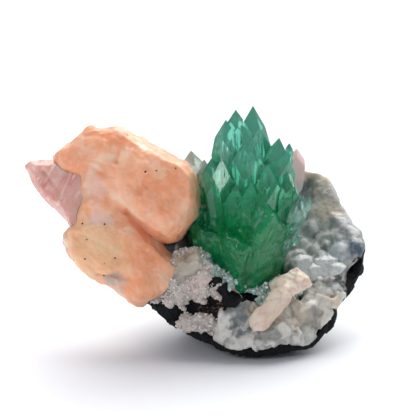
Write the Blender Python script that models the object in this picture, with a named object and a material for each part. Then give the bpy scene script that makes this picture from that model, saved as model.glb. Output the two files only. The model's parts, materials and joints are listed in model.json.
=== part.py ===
"""A cabinet specimen: green apophyllite and peach stilbite on a crusted basalt shell.

The shell is a lopsided bowl of black basalt. Crusts of chalcedony and quartz lie on it, a cluster of
apophyllite crystals stands on its floor, and two stilbite sheaves with a pink blade hang over its left rim.
Lengths in the tables are millimetres; MM turns them into metres. +Z is up, -Y is the open front, and the
origin is on the flat foot of the basalt.
"""

import math

import bmesh
import bpy
import numpy as np
from mathutils import Matrix, Vector, noise

MM = 0.001
GAP = 0.35  # clearance between neighbouring pieces
LEAN = math.radians(15.0)  # the stilbite sheaves lean back by this much

# The bowl: a polar lattice round the seat of the apophyllite cluster.
SEAT = Vector((4.0, 0.0, 17.0))
SEAT_RADIUS = 10.5
SEAT_BLEND = 4.0
COLUMNS = 60
ROWS = 15
UNDER_ROWS = 6
ROCK_ROUGHNESS = 0.9
ROCK_GRAIN = 0.13  # waves per mm

# Rim of the basalt: direction from the seat in degrees, distance, height of its top edge, edge thickness.
RIM = [
    (8, 35.0, 26.2, 2.6),
    (20, 33.6, 30.6, 3.6),
    (32, 33.4, 35.4, 4.0),
    (41, 34.8, 41.6, 3.6),
    (50, 33.4, 42.8, 3.8),
    (60, 31.6, 40.6, 4.5),
    (84, 28.5, 36.0, 5.0),
    (112, 27.5, 32.5, 5.5),
    (138, 28.0, 31.5, 6.0),
    (160, 30.5, 27.0, 5.0),
    (182, 31.0, 21.0, 4.0),
    (200, 29.5, 15.4, 3.0),
    (216, 26.6, 12.2, 2.4),
    (236, 22.4, 8.2, 2.8),
    (252, 20.6, 4.9, 2.6),
    (276, 20.6, 3.3, 2.0),
    (302, 22.4, 4.2, 2.0),
    (320, 24.8, 5.6, 2.8),
    (336, 27.6, 11.2, 3.4),
    (350, 30.4, 18.2, 4.2),
]
# Places inside the rim that the top of the basalt passes through.
ROCK_TOP = [
    (4, 0, 16.4),
    (-7, -11.5, 24.0),
    (-12.5, -11.5, 23.5),
    (-18.5, -11.5, 17.5),
    (-1, -12.5, 19.0),
    (5, -12, 14.8),
    (13, -11.5, 13.2),
    (-4.5, -15.5, 13.0),
    (-12, -15, 12.0),
    (-15, 0, 19.5),
    (20, -8.5, 10.5),
    (19, -15, 3.6),
    (7, -16.5, 6.5),
    (29, 1, 18.0),
    (20, 7, 17.5),
    (20, 15, 23.5),
    (30, 12, 26.5),
    (25, 21, 32.5),
    (11, 20, 25.0),
    (-2, 16, 22.0),
    (-10, 12, 25.0),
    (-20, 6, 24.0),
]
# Places that its underside passes through; below zero it is worn off flat, which makes the foot.
ROCK_UNDER = [
    (8, -1, -3.0),
    (-9.5, 4, -2.2),
    (-6.5, -4, -1.2),
    (18, 2, -1.4),
    (10, -14, -0.6),
    (6, 12, -0.8),
    (-10, -8, 4.5),
    (-18, 0, 12.0),
    (-12, 12, 11.0),
    (26, -6, 7.0),
    (29, 5, 13.0),
    (20, 18, 15.0),
    (2, 20, 10.0),
]

# Crusts: node, first and last direction in degrees, inner reach at both, outer reach at both (shares of
# the rim's distance), thickness, roughness of the outer surface, waves per mm, kind of stone.
CRUSTS = [
    ("rear_wall_crust", 0, 120, (0.36, 0.44), (1.0, 1.0), 2.6, 1.1, 0.24, "grey_chalcedony"),
    ("rear_left_crust", 120, 192, (0.46, 0.50), (1.0, 1.0), 2.2, 0.9, 0.22, "blue_chalcedony"),
    ("left_druse", 192, 246, (0.62, 0.58), (1.15, 0.64), 2.4, 0.9, 0.35, "white_quartz"),
    ("lower_left_druse", 222, 246, (0.90, 0.80), (1.0, 1.0), 1.9, 0.5, 0.40, "white_quartz"),
    ("front_crust", 246, 360, (0.64, 0.50), (1.0, 1.0), 2.6, 0.8, 0.22, "grey_chalcedony"),
    ("seat_druse", 216, 342, (0.46, 0.36), (0.58, 0.50), 1.6, 0.5, 0.35, "pale_green_druse"),
]
CRUST_EDGE = 0.45  # thickness at a crust's edge, as a share of its full thickness
EDGE_DRAW_IN = 0.14  # how far a crust's edge keeps from the next lattice line

# Apophyllite crystals, innermost first: node, tip, width, depth, twist in degrees, foot (None = by rule).
APOPHYLLITE = [
    ("spire_top", (6.3, 3, 65.9), 9.2, 8.6, 30, None),
    ("spire_front", (4.7, -4, 59.2), 10.0, 9.0, 40, None),
    ("spire_middle", (1.6, 3.2, 64.8), 6.2, 6.6, 12, None),
    ("spire_left", (-1.2, 1, 62.4), 7.4, 7.8, 66, None),
    ("right_main", (13.4, -1, 57.7), 8.0, 8.2, 52, None),
    ("rear_main", (6.0, 9.0, 58.0), 10.0, 9.4, 35, None),
    ("left_front", (-2.3, -6, 52.9), 6.4, 6.6, 30, None),
    ("right_front", (10.1, -8, 52.0), 8.0, 7.4, 48, None),
    ("left_narrow", (-5.3, -3, 52.3), 5.8, 8.0, 10, None),
    ("rear_right", (12.5, 7.0, 53.0), 8.8, 8.4, 20, None),
    ("rear_left", (-1.5, 8.0, 54.0), 9.0, 8.6, 58, None),
    ("right_small", (15.6, -3, 50.0), 5.2, 7.4, 28, None),
    ("front_step", (5.5, -10, 47.5), 7.6, 6.8, 45, None),
    ("front_chip", (1.4, -10, 46.9), 6.2, 6.0, 30, None),
    ("left_broad", (-5.1, -6, 44.6), 12.0, 10.4, 70, None),
    ("front_right_step", (8.8, -12, 44.4), 8.6, 7.6, 40, None),
    ("front_low", (3.3, -13, 41.5), 11.0, 8.4, 46, None),
    ("rear_low", (4.5, 13.5, 46.0), 11.0, 8.8, 42, None),
    ("left_leaf", (-9.5, -3.4, 41.0), 7.0, 9.4, 18, None),
    ("left_rear_low", (-6.5, 7.0, 47.0), 9.4, 9.4, 30, None),
    ("right_rear_low", (14.2, 7.2, 45.0), 8.6, 9.0, 60, None),
    ("right_low", (12.4, -8.0, 43.0), 6.8, 7.4, 32, None),
    ("flank_right", (20.0, -5, 42.6), 4.8, 4.8, 18, (14.2, -4.6, 28.5)),
    ("flank_low", (19.2, -6.5, 36.2), 3.2, 3.4, 50, (13.0, -5.6, 27.0)),
    ("flank_splinter", (18.3, -7.8, 33.2), 2.8, 2.8, 15, (12.6, -6.8, 27.0)),
]
# Pale and pink crystals on the rear of the bowl: node, tip, width, depth, twist, foot, stone.
REAR_CRYSTALS = [
    ("pale_crystal_left", (-10.9, 9.5, 51.0), 4.6, 5.0, 20, (-9.4, 11.5, 24.0), "pale_apophyllite"),
    ("pale_crystal_right", (-7.2, 8.2, 48.6), 4.2, 4.4, 55, (-6.2, 11.5, 24.0), "pale_apophyllite"),
    ("pink_crystal_rear", (20.0, 22.6, 49.4), 4.6, 3.2, 12, (17.8, 22.0, 26.0), "pink_stilbite"),
    ("pink_crystal_left", (-16.8, 11.5, 50.2), 6.0, 3.6, 8, (-12.5, 13.0, 26.0), "pink_stilbite"),
]
FOOT_PULL = 0.56  # how far a crystal's foot stands out from the middle, as a share of its tip
CRYSTAL_TAPER = 0.035  # narrowing of the prism towards its foot, per mm of length
PYRAMID_SLOPE = 1.243  # apophyllite's own pyramid, turned 45 degrees to the prism

# Stilbite lobes, drawn in the leaning plane: outline, middle depth, half depth. One list for each piece.
UPPER_STILBITE = [
    ([(-48.8, 49.2), (-48.4, 51.6), (-45.0, 54.0), (-42.6, 55.2), (-40.6, 57.8), (-33.8, 58.4),
      (-30.9, 59.0), (-27.6, 56.8), (-24.0, 50.5), (-26.0, 43.0), (-36.1, 43.4), (-44.0, 45.6),
      (-47.8, 47.2)], -13.4, 8.2),
    ([(-34.8, 52.5), (-32.6, 56.9), (-28.2, 57.4), (-23.2, 55.2), (-18.5, 52.5), (-12.0, 48.4),
      (-8.8, 43.1), (-8.0, 37.9), (-10.0, 32.8), (-14.6, 27.3), (-17.4, 26.9), (-22.3, 29.0),
      (-27.3, 34.0), (-32.8, 40.9), (-35.3, 47.0)], -14.2, 10.4),
]
LOWER_STILBITE = [
    ([(-42.8, 34.4), (-41.4, 38.4), (-37.0, 41.4), (-31.0, 41.5), (-26.5, 36.9), (-25.9, 29.9),
      (-30.3, 27.7), (-38.0, 28.3), (-42.0, 30.6)], -13.6, 7.6),
    ([(-41.8, 32.0), (-45.4, 30.4), (-46.5, 27.4), (-44.2, 23.7), (-41.0, 19.4), (-37.2, 16.6),
      (-32.3, 15.1), (-28.0, 16.9), (-25.3, 21.8), (-26.3, 28.3), (-30.7, 32.7), (-36.7, 34.0)],
     -15.0, 8.8),
    ([(-32.3, 34.9), (-28.0, 35.4), (-21.7, 29.8), (-17.5, 24.9), (-14.4, 21.2), (-14.1, 15.8),
      (-17.1, 13.2), (-22.0, 10.5), (-25.3, 9.1), (-29.1, 11.8), (-32.9, 15.6), (-34.0, 21.8),
      (-34.5, 28.9)], -14.4, 9.0),
]
# Flat faces that the sheaves show: across, up and depth of a point on each, and the way it faces.
UPPER_FACES = [
    ((-44.0, 54.6, -13.4), (-0.62, 0.78, -0.10)),
    ((-36.0, 52.0, -20.4), (-0.15, 0.35, -0.92)),
    ((-21.0, 53.2, -15.0), (0.45, 0.86, -0.25)),
    ((-9.6, 41.0, -15.0), (0.96, 0.10, -0.25)),
    ((-20.0, 41.0, -23.8), (0.22, 0.10, -0.97)),
]
LOWER_FACES = [
    ((-34.0, 30.0, -23.0), (-0.20, 0.30, -0.93)),
    ((-45.2, 27.6, -15.0), (-0.95, 0.05, -0.30)),
    ((-19.6, 26.6, -15.0), (0.70, 0.66, -0.28)),
    ((-22.0, 20.0, -22.4), (0.32, 0.02, -0.95)),
    ((-39.4, 18.6, -15.0), (-0.58, -0.80, -0.10)),
]
PINK_BLADE = [(-56.4, 48.0), (-55.0, 49.2), (-50.7, 49.6), (-41.4, 50.4), (-30.4, 49.0), (-25.0, 41.0),
              (-33.0, 31.5), (-43.3, 29.8), (-44.8, 32.6), (-47.2, 35.3), (-50.2, 37.9), (-53.8, 42.3)]
BLADE_DEPTH = -15.4
BLADE_HALF = 3.4
BLADE_BEVEL = 2.0
SHEAF_POINTS = 30
SHEAF_LAYERS = 9
SHEAF_VOXEL = 1.1
SHEAF_FACES = 1100

# Small blades, plates and lumps on the front of the bowl: node, one end, other end, half width,
# half thickness, stone. Each is a six-sided tablet.
TABLETS = [
    ("cream_blade", (6.2, -21.0, 9.6), (15.4, -13.8, 18.4), 2.4, 1.9, "cream_stilbite"),
    ("cream_plate", (12.2, -14.0, 17.8), (21.0, -8.6, 20.6), 3.4, 1.3, "cream_stilbite"),
    ("beige_lump", (-14.8, -12.2, 24.2), (-7.4, -12.0, 25.8), 3.4, 2.8, "beige_chalcedony"),
    ("rim_plate_back", (22.2, -4.2, 15.0), (20.0, 0.0, 23.8), 2.8, 0.9, "white_quartz"),
    ("rim_plate_middle", (25.0, -5.0, 14.5), (24.0, -1.0, 21.5), 2.6, 0.9, "white_quartz"),
    ("rim_plate_right", (27.5, -4.0, 15.8), (27.2, 0.2, 23.4), 2.8, 0.9, "white_quartz"),
    ("rim_plate_front", (29.6, -6.0, 15.4), (30.8, -2.0, 22.0), 2.4, 1.0, "white_quartz"),
]

# Finish of each stone: colour, roughness.
STONES = {
    "basalt": ((0.012, 0.013, 0.015), 0.75),
    "grey_chalcedony": ((0.42, 0.43, 0.41), 0.45),
    "blue_chalcedony": ((0.28, 0.33, 0.37), 0.40),
    "white_quartz": ((0.62, 0.62, 0.60), 0.30),
    "pale_green_druse": ((0.45, 0.60, 0.50), 0.30),
    "beige_chalcedony": ((0.50, 0.42, 0.32), 0.35),
    "green_apophyllite": ((0.03, 0.30, 0.14), 0.08),
    "pale_apophyllite": ((0.50, 0.60, 0.52), 0.10),
    "peach_stilbite": ((0.80, 0.42, 0.25), 0.35),
    "pink_stilbite": ((0.72, 0.38, 0.33), 0.22),
    "cream_stilbite": ((0.80, 0.65, 0.50), 0.40),
}


def clear_scene():
    for obj in list(bpy.data.objects):
        bpy.data.objects.remove(obj, do_unlink=True)


def stone(kind):
    """The material of one kind of stone, made once."""
    if kind in bpy.data.materials:
        return bpy.data.materials[kind]
    colour, roughness = STONES[kind]
    material = bpy.data.materials.new(kind)
    material.use_nodes = True
    shader = material.node_tree.nodes["Principled BSDF"]
    shader.inputs["Base Color"].default_value = (*colour, 1.0)
    shader.inputs["Roughness"].default_value = roughness
    shader.inputs["Metallic"].default_value = 0.0
    return material


def add_node(name, bm, kind, smooth_angle=None):
    """Puts a bmesh whose lengths are millimetres into the scene as one named object."""
    mesh = bpy.data.meshes.new(name)
    bmesh.ops.scale(bm, vec=(MM, MM, MM), verts=bm.verts)
    bm.to_mesh(mesh)
    bm.free()
    mesh.materials.append(stone(kind))
    if smooth_angle:
        mesh.shade_smooth()
        mesh.set_sharp_from_angle(angle=smooth_angle)
    obj = bpy.data.objects.new(name, mesh)
    bpy.context.scene.collection.objects.link(obj)
    return obj


def evaluated_bmesh(obj):
    """The object's mesh with its modifiers, back in millimetres."""
    bm = bmesh.new()
    bm.from_object(obj, bpy.context.evaluated_depsgraph_get())
    bmesh.ops.scale(bm, vec=(1 / MM, 1 / MM, 1 / MM), verts=bm.verts)
    return bm


def largest_body(bm):
    """Keeps the biggest connected piece and deletes crumbs that a cut leaves beside it."""
    unseen = set(bm.verts)
    bodies = []
    while unseen:
        stack = [unseen.pop()]
        body = set(stack)
        while stack:
            for edge in stack.pop().link_edges:
                for vert in edge.verts:
                    if vert in unseen:
                        unseen.discard(vert)
                        body.add(vert)
                        stack.append(vert)
        bodies.append(body)
    keep = max(bodies, key=len)
    bmesh.ops.delete(bm, geom=[v for v in bm.verts if v not in keep], context="VERTS")
    return bm


def cut_away(bm, cutters):
    """Cuts each cutter object out of the bmesh and returns what is left."""
    target = add_node("cut_target", bm, "basalt")
    for cutter in cutters:
        boolean = target.modifiers.new("cut", "BOOLEAN")
        boolean.operation = "DIFFERENCE"
        boolean.solver = "EXACT"
        boolean.object = cutter
    bpy.context.view_layer.update()
    result = evaluated_bmesh(target)
    bpy.data.objects.remove(target, do_unlink=True)
    bmesh.ops.remove_doubles(result, verts=result.verts, dist=0.002)
    bmesh.ops.triangulate(result, faces=result.faces)
    bmesh.ops.dissolve_degenerate(result, dist=0.002, edges=result.edges)
    return largest_body(result)


def swollen_copy(name, bm, amount):
    """A hidden cutter: the same body grown outwards by amount."""
    grown = bm.copy()
    grown.normal_update()
    for vert in grown.verts:
        vert.co += vert.normal * amount
    return hide(add_node(name, grown, "basalt"))


def hide(obj):
    obj.hide_render = True
    obj.display_type = "WIRE"
    return obj


# ---------------------------------------------------------------- the basalt bowl


def curve_through(p0, p1, p2, p3, t):
    """Catmull-Rom curve between p1 and p2; works on numbers and on vectors."""
    bend = (2 * p0 - 5 * p1 + 4 * p2 - p3) * t**2
    twist = (3 * p1 - p0 - 3 * p2 + p3) * t**3
    return 0.5 * (2 * p1 + (p2 - p0) * t + bend + twist)


def round_table(angle, table, column):
    """Smooth value of one column of a table of directions, read at an angle in degrees."""
    angles = [row[0] for row in table]
    count = len(table)
    after = next((k for k, a in enumerate(angles) if a > angle % 360), 0)
    picks = [(after + step) % count for step in (-2, -1, 0, 1)]
    start, stop = angles[picks[1]], angles[picks[2]]
    t = ((angle - start) % 360) / ((stop - start) % 360)
    return curve_through(*(table[k][column] for k in picks), t)


def thin_plate(points):
    """A smooth height over (x, y) that passes through every (x, y, z) given."""
    known = np.array(points, float)

    def kernel(a, b):
        square = ((a[:, None, :] - b[None, :, :]) ** 2).sum(axis=2) + 1e-9
        return 0.5 * square * np.log(square)

    count = len(known)
    plane = np.hstack([np.ones((count, 1)), known[:, :2]])
    system = np.zeros((count + 3, count + 3))
    system[:count, :count] = kernel(known[:, :2], known[:, :2])
    system[:count, count:] = plane
    system[count:, :count] = plane.T
    weights = np.linalg.solve(system, np.append(known[:, 2], (0, 0, 0)))

    def height(x, y):
        here = np.array([[x, y]])
        bend = kernel(here, known[:, :2])[0] @ weights[:count]
        return float(bend + weights[count:] @ (1.0, x, y))

    return height


def rim_point(angle, drop=0.0):
    """Point of the rim's top edge, or of its lower edge where drop is 1."""
    radians = math.radians(angle)
    reach = round_table(angle, RIM, 1)
    z = round_table(angle, RIM, 2) - drop * round_table(angle, RIM, 3)
    return Vector((SEAT.x + reach * math.cos(radians), SEAT.y + reach * math.sin(radians), z))


def roughness_at(point, grain):
    """Angular stone noise between about -1 and 1."""
    wave = noise.fractal(point * grain, 0.7, 2.1, 3)
    return max(-1.0, min(1.0, 1.6 * wave))


def lattice_normals(grid):
    """Unit normals of a lattice that is closed round its second index; all lean upwards."""
    along = np.gradient(grid, axis=0)
    round_it = np.roll(grid, -1, axis=1) - np.roll(grid, 1, axis=1)
    normals = np.cross(along, round_it)
    normals[0] = (0, 0, 1)
    length = np.linalg.norm(normals, axis=2, keepdims=True)
    return normals / np.maximum(length, 1e-9)


def bowl_lattices():
    """Top lattice, its normals, and the underside lattice, in millimetres."""
    step = 360 / COLUMNS
    rim_top = [rim_point(k * step) for k in range(0, COLUMNS, 3)]
    rim_low = [rim_point(k * step, 1.0) for k in range(0, COLUMNS, 3)]
    top_height = thin_plate([tuple(p) for p in rim_top] + ROCK_TOP)
    under_height = thin_plate([tuple(p) for p in rim_low] + ROCK_UNDER)
    top = np.zeros((ROWS + 1, COLUMNS, 3))
    under = np.zeros((UNDER_ROWS + 1, COLUMNS, 3))
    for column in range(COLUMNS):
        edge = rim_point(column * step)
        for row in range(ROWS + 1):
            share = (row / ROWS) ** 0.9
            x = SEAT.x + share * (edge.x - SEAT.x)
            y = SEAT.y + share * (edge.y - SEAT.y)
            away = math.hypot(x - SEAT.x, y - SEAT.y) - SEAT_RADIUS
            blend = max(0.0, min(1.0, away / SEAT_BLEND))
            top[row, column] = (x, y, SEAT.z + blend * (top_height(x, y) - SEAT.z))
        low = rim_point(column * step, 1.0)
        for row in range(UNDER_ROWS + 1):
            share = row / UNDER_ROWS
            x = SEAT.x + share * (low.x - SEAT.x)
            y = SEAT.y + share * (low.y - SEAT.y)
            under[row, column] = (x, y, under_height(x, y))
    normals = lattice_normals(top)
    for row in range(ROWS + 1):
        for column in range(COLUMNS):
            point = Vector(top[row, column])
            away = math.hypot(point.x - SEAT.x, point.y - SEAT.y) - SEAT_RADIUS
            blend = max(0.0, min(1.0, away / SEAT_BLEND))
            rough = ROCK_ROUGHNESS * blend * roughness_at(point, ROCK_GRAIN)
            top[row, column] += normals[row, column] * rough
    normals = lattice_normals(top)
    for row in range(1, UNDER_ROWS + 1):
        for column in range(COLUMNS):
            point = Vector(under[row, column])
            under[row, column, 2] += ROCK_ROUGHNESS * roughness_at(point, ROCK_GRAIN)
    under[:, :, 2] = np.maximum(under[:, :, 2], 0.0)
    lowest_edge = top[ROWS, :, 2] - 1.2
    under[UNDER_ROWS, :, 2] = np.minimum(under[UNDER_ROWS, :, 2], lowest_edge)
    return top, normals, under


def ring_faces(bm, inner, outer, upwards):
    """Quads between two closed rings of vertices."""
    for k in range(len(outer)):
        after = (k + 1) % len(outer)
        quad = [inner[k], outer[k], outer[after], inner[after]]
        bm.faces.new(quad if upwards else quad[::-1])


def bowl_solid(top, under):
    """A closed body between the top lattice and the underside lattice."""
    bm = bmesh.new()

    def rings(lattice, upwards):
        centre = bm.verts.new(lattice[0].mean(axis=0))
        rows = [[bm.verts.new(p) for p in ring] for ring in lattice[1:]]
        for k in range(COLUMNS):
            corner = [centre, rows[0][k], rows[0][(k + 1) % COLUMNS]]
            bm.faces.new(corner if upwards else corner[::-1])
        for inner, outer in zip(rows, rows[1:]):
            ring_faces(bm, inner, outer, upwards)
        return rows[-1]

    upper_edge = rings(top, True)
    lower_edge = rings(under, False)
    ring_faces(bm, upper_edge, lower_edge, True)
    bmesh.ops.triangulate(bm, faces=bm.faces)
    bmesh.ops.recalc_face_normals(bm, faces=bm.faces)
    return bm


def crust_rows(spec, column, first, last):
    """First and last lattice row that a crust covers in one column, with a ragged edge."""
    share = (column - first) / max(last - first, 1)
    inner, outer = (ends[0] + share * (ends[1] - ends[0]) for ends in spec[3:5])
    ragged = 0.045 * math.sin(math.radians(column * 360 / COLUMNS) * 7 + len(spec[0]))
    start = round(ROWS * (inner + ragged))
    stop = ROWS if outer > 0.99 else round(ROWS * (outer + ragged))
    stop = min(max(stop, start + 2), ROWS)
    return min(start, stop - 2), stop


def crust_cells(spec):
    """The lattice cells (row, column) of one crust."""
    step = 360 / COLUMNS
    first, last = round(spec[1] / step), round(spec[2] / step) - 1
    cells = set()
    for column in range(first, last + 1):
        start, stop = crust_rows(spec, column, first, last)
        cells |= {(row, column % COLUMNS) for row in range(start, stop)}
    return cells


def cell_corners(cell):
    row, column = cell
    after = (column + 1) % COLUMNS
    return [(row, column), (row + 1, column), (row + 1, after), (row, after)]


def crust_heights(spec, cells, top):
    """Thickness at each lattice point of a crust: thin at the edge, knobbly in the middle."""
    thickness, rough, grain = spec[5:8]
    points = {corner for cell in cells for corner in cell_corners(cell)}
    heights = {}
    for row, column in points:
        around = {(row - a, (column - b) % COLUMNS) for a in (0, 1) for b in (0, 1)}
        inside = around <= cells
        knobs = rough * roughness_at(Vector(top[row, column]) + Vector((50, 0, 0)), grain)
        full = thickness + knobs if inside else thickness * CRUST_EDGE + 0.3 * knobs
        heights[row, column] = max(full, 0.6)
    return heights


def crust_solid(cells, heights, top, normals):
    """A closed slab over the cells, lying GAP above the basalt."""
    bm = bmesh.new()
    low, high = {}, {}
    for row, column in heights:
        position = Vector(top[row, column])
        drawn = Vector((0, 0, 0))
        for down, round_it in ((-1, 0), (1, 0), (0, -1), (0, 1)):
            near = (row + down, (column + round_it) % COLUMNS)
            beyond = (2 * row - near[0], (2 * column - near[1]) % COLUMNS)
            if near in heights and beyond not in heights:
                drawn += (Vector(top[near]) - position) * EDGE_DRAW_IN
        normal = Vector(normals[row, column])
        low[row, column] = bm.verts.new(position + drawn + normal * GAP)
        high[row, column] = bm.verts.new(position + drawn + normal * (GAP + heights[row, column]))
    for cell in cells:
        a, b, c, d = cell_corners(cell)
        bm.faces.new([high[k] for k in (a, b, c, d)])
        bm.faces.new([low[k] for k in (d, c, b, a)])
        row, column = cell
        sides = {
            (row, (column - 1) % COLUMNS): (a, b),
            (row + 1, column): (b, c),
            (row, (column + 1) % COLUMNS): (c, d),
            (row - 1, column): (d, a),
        }
        for neighbour, (start, stop) in sides.items():
            if neighbour not in cells:
                bm.faces.new([low[start], low[stop], high[stop], high[start]])
    bmesh.ops.triangulate(bm, faces=bm.faces)
    bmesh.ops.recalc_face_normals(bm, faces=bm.faces)
    return bm


def build_bowl():
    """Makes the basalt and its crusts; returns a hidden cutter that wraps them all."""
    top, normals, under = bowl_lattices()
    add_node("basalt_matrix", bowl_solid(top, under), "basalt")
    wrap = np.full((ROWS + 1, COLUMNS), GAP)
    for spec in CRUSTS:
        cells = crust_cells(spec)
        heights = crust_heights(spec, cells, top)
        add_node(spec[0], crust_solid(cells, heights, top, normals), spec[8])
        for (row, column), height in heights.items():
            wrap[row, column] = max(wrap[row, column], height + 2 * GAP)
    wrapped_top = top + normals * wrap[:, :, None]
    wrapped_under = under.copy()
    outward = top[ROWS] - np.array(SEAT)
    outward[:, 2] = 0
    outward /= np.linalg.norm(outward, axis=1, keepdims=True)
    wrapped_top[ROWS] += outward * 0.8
    wrapped_under[UNDER_ROWS] += outward * 0.8
    wrapped_under[:, :, 2] -= 0.8
    return hide(add_node("bowl_cutter", bowl_solid(wrapped_top, wrapped_under), "basalt"))


# ---------------------------------------------------------------- apophyllite


def half_spaces(tip, width, depth, twist, foot):
    """Planes (normal, offset) of one crystal: four tapering prism sides and four pyramid faces."""
    axis = (tip - foot).normalized()
    lean = Vector((0, 0, 1)).rotation_difference(axis).to_matrix()
    turn = lean @ Matrix.Rotation(math.radians(twist), 3, "Z")
    planes = []
    for sign in (1, -1):
        for across, half in ((Vector((sign, 0, 0)), width / 2), (Vector((0, sign, 0)), depth / 2)):
            normal = (across - Vector((0, 0, CRYSTAL_TAPER))).normalized()
            shoulder = across * half - Vector((0, 0, PYRAMID_SLOPE * half))
            planes.append((turn @ normal, (turn @ normal).dot(tip + turn @ shoulder)))
    for a in (1, -1):
        for b in (1, -1):
            normal = turn @ Vector((a * PYRAMID_SLOPE, b * PYRAMID_SLOPE, 1)).normalized()
            planes.append((normal, normal.dot(tip)))
    return planes


def clip(bm, normal, offset):
    """Keeps the part of a convex body with normal . point < offset, and closes the cut."""
    geometry = bm.verts[:] + bm.edges[:] + bm.faces[:]
    cut = bmesh.ops.bisect_plane(
        bm, geom=geometry, dist=1e-5, plane_co=normal * offset, plane_no=normal, clear_outer=True
    )
    edges = [e for e in cut["geom_cut"] if isinstance(e, bmesh.types.BMEdge) and e.is_boundary]
    if edges:
        bmesh.ops.contextual_create(bm, geom=edges)
    return bm


def crystal_body(planes, floor, grow=0.0):
    """The convex body inside all the planes and above the floor, with each plane moved out by grow."""
    bm = bmesh.new()
    bmesh.ops.create_cube(bm, size=300)
    for normal, offset in planes + [(Vector((0, 0, -1)), -floor)]:
        clip(bm, normal, offset + grow)
    return hulled(bm)


def hulled(bm):
    """The same convex body with clean, outward faces."""
    clean = bmesh.new()
    bmesh.ops.remove_doubles(bm, verts=bm.verts, dist=0.003)
    for vert in bm.verts:
        clean.verts.new(vert.co)
    bm.free()
    bmesh.ops.convex_hull(clean, input=clean.verts)
    bmesh.ops.delete(clean, geom=[v for v in clean.verts if not v.link_faces], context="VERTS")
    bmesh.ops.recalc_face_normals(clean, faces=clean.faces)
    return clean


def grow_crystals(table, cutters):
    """Makes the crystals of a table in turn, each cut to fit round those already there."""
    cutters = list(cutters)
    for name, tip, width, depth, twist, foot, kind in table:
        planes = half_spaces(Vector(tip), width, depth, twist, Vector(foot))
        body = crystal_body(planes, SEAT.z + 1.2 * GAP)
        add_node(name, cut_away(body, cutters), kind)
        cutters.append(hide(add_node(name + "_cutter", crystal_body(planes, SEAT.z, GAP), kind)))
    return cutters


def green_table():
    """The green crystals with the feet that the rule gives."""
    rows = []
    for name, tip, width, depth, twist, foot in APOPHYLLITE:
        away = FOOT_PULL * (Vector(tip) - SEAT)
        foot = foot or (SEAT.x + away.x, SEAT.y + away.y, SEAT.z)
        rows.append((name, tip, width, depth, twist, foot, "green_apophyllite"))
    return rows


# ---------------------------------------------------------------- stilbite


def leaning(u, v, w):
    """A point of the plane that leans back by LEAN: u across, v up the plane, w away from the front."""
    return Vector((u, v * math.sin(LEAN) + w * math.cos(LEAN), v * math.cos(LEAN) - w * math.sin(LEAN)))


def smooth_outline(corners, count):
    """Points along a smooth closed curve through the corners."""
    total = len(corners)
    points = []
    for k in range(count):
        place = k * total / count
        i, t = int(place), place - int(place)
        around = (Vector(corners[(i + s) % total]) for s in (-1, 0, 1, 2))
        points.append(curve_through(*around, t))
    return points


def lobe(bm, corners, middle, half):
    """Adds one rounded lobe: its outline shrinks towards a blunt front and back."""
    outline = smooth_outline(corners, SHEAF_POINTS)
    centre = sum(outline, Vector((0, 0))) / len(outline)
    rings = []
    for layer in range(1, SHEAF_LAYERS):
        angle = math.pi * (layer / SHEAF_LAYERS - 0.5)
        share = math.cos(angle) ** 0.55
        depth = middle + half * math.sin(angle)
        rings.append([bm.verts.new(leaning(*(centre + (p - centre) * share), depth)) for p in outline])
    caps = [bm.verts.new(leaning(*centre, middle + side * half)) for side in (-1, 1)]
    for inner, outer in zip(rings, rings[1:]):
        ring_faces(bm, inner, outer, True)
    for ring, cap in ((rings[0], caps[0]), (rings[-1], caps[1])):
        for k in range(SHEAF_POINTS):
            bm.faces.new([ring[k], ring[(k + 1) % SHEAF_POINTS], cap])
    bmesh.ops.recalc_face_normals(bm, faces=bm.faces)


def sheaf(lobes, faces):
    """Joins the lobes of one sheaf into a single skin and gives it its flat faces."""
    bm = bmesh.new()
    for corners, middle, half in lobes:
        single = bmesh.new()
        lobe(single, corners, middle, half)
        spare = bpy.data.meshes.new("lobe")
        single.to_mesh(spare)
        single.free()
        bm.from_mesh(spare)
        bpy.data.meshes.remove(spare)
    raw = add_node("raw_sheaf", bm, "peach_stilbite")
    remesh = raw.modifiers.new("skin", "REMESH")
    remesh.mode = "VOXEL"
    remesh.voxel_size = SHEAF_VOXEL * MM
    bpy.context.view_layer.update()
    skin = evaluated_bmesh(raw)
    count = sum(len(face.verts) - 2 for face in skin.faces)
    skin.free()
    thin = raw.modifiers.new("thin", "DECIMATE")
    thin.ratio = SHEAF_FACES / count
    bpy.context.view_layer.update()
    result = evaluated_bmesh(raw)
    bpy.data.objects.remove(raw, do_unlink=True)
    for place, facing in faces:
        shave(result, leaning(*place), leaning(*facing).normalized())
    bmesh.ops.triangulate(result, faces=result.faces)
    return largest_body(result)


def shave(bm, place, normal):
    """Takes off what stands proud of a plane, and leaves a flat face."""
    geometry = bm.verts[:] + bm.edges[:] + bm.faces[:]
    bmesh.ops.bisect_plane(bm, geom=geometry, dist=1e-3, plane_co=place, plane_no=normal, clear_outer=True)
    rim = [edge for edge in bm.edges if edge.is_boundary]
    bmesh.ops.holes_fill(bm, edges=rim)


def blade_body():
    """The pink blade: a flat tablet whose outline steps in towards both faces."""
    bm = bmesh.new()
    outline = [Vector(p) for p in PINK_BLADE]
    centre = sum(outline, Vector((0, 0))) / len(outline)
    edge = 0.3 * BLADE_HALF
    layers = [(-BLADE_HALF, BLADE_BEVEL), (-edge, 0.0), (edge, 0.0), (BLADE_HALF, BLADE_BEVEL)]
    rings = []
    for offset, inset in layers:
        ring = []
        for point in outline:
            inward = (centre - point).normalized() * inset
            ring.append(bm.verts.new(leaning(*(point + inward), BLADE_DEPTH + offset)))
        rings.append(ring)
    for inner, outer in zip(rings, rings[1:]):
        ring_faces(bm, inner, outer, True)
    bm.faces.new(rings[0])
    bm.faces.new(rings[-1][::-1])
    bmesh.ops.triangulate(bm, faces=bm.faces)
    bmesh.ops.recalc_face_normals(bm, faces=bm.faces)
    return bm


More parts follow.
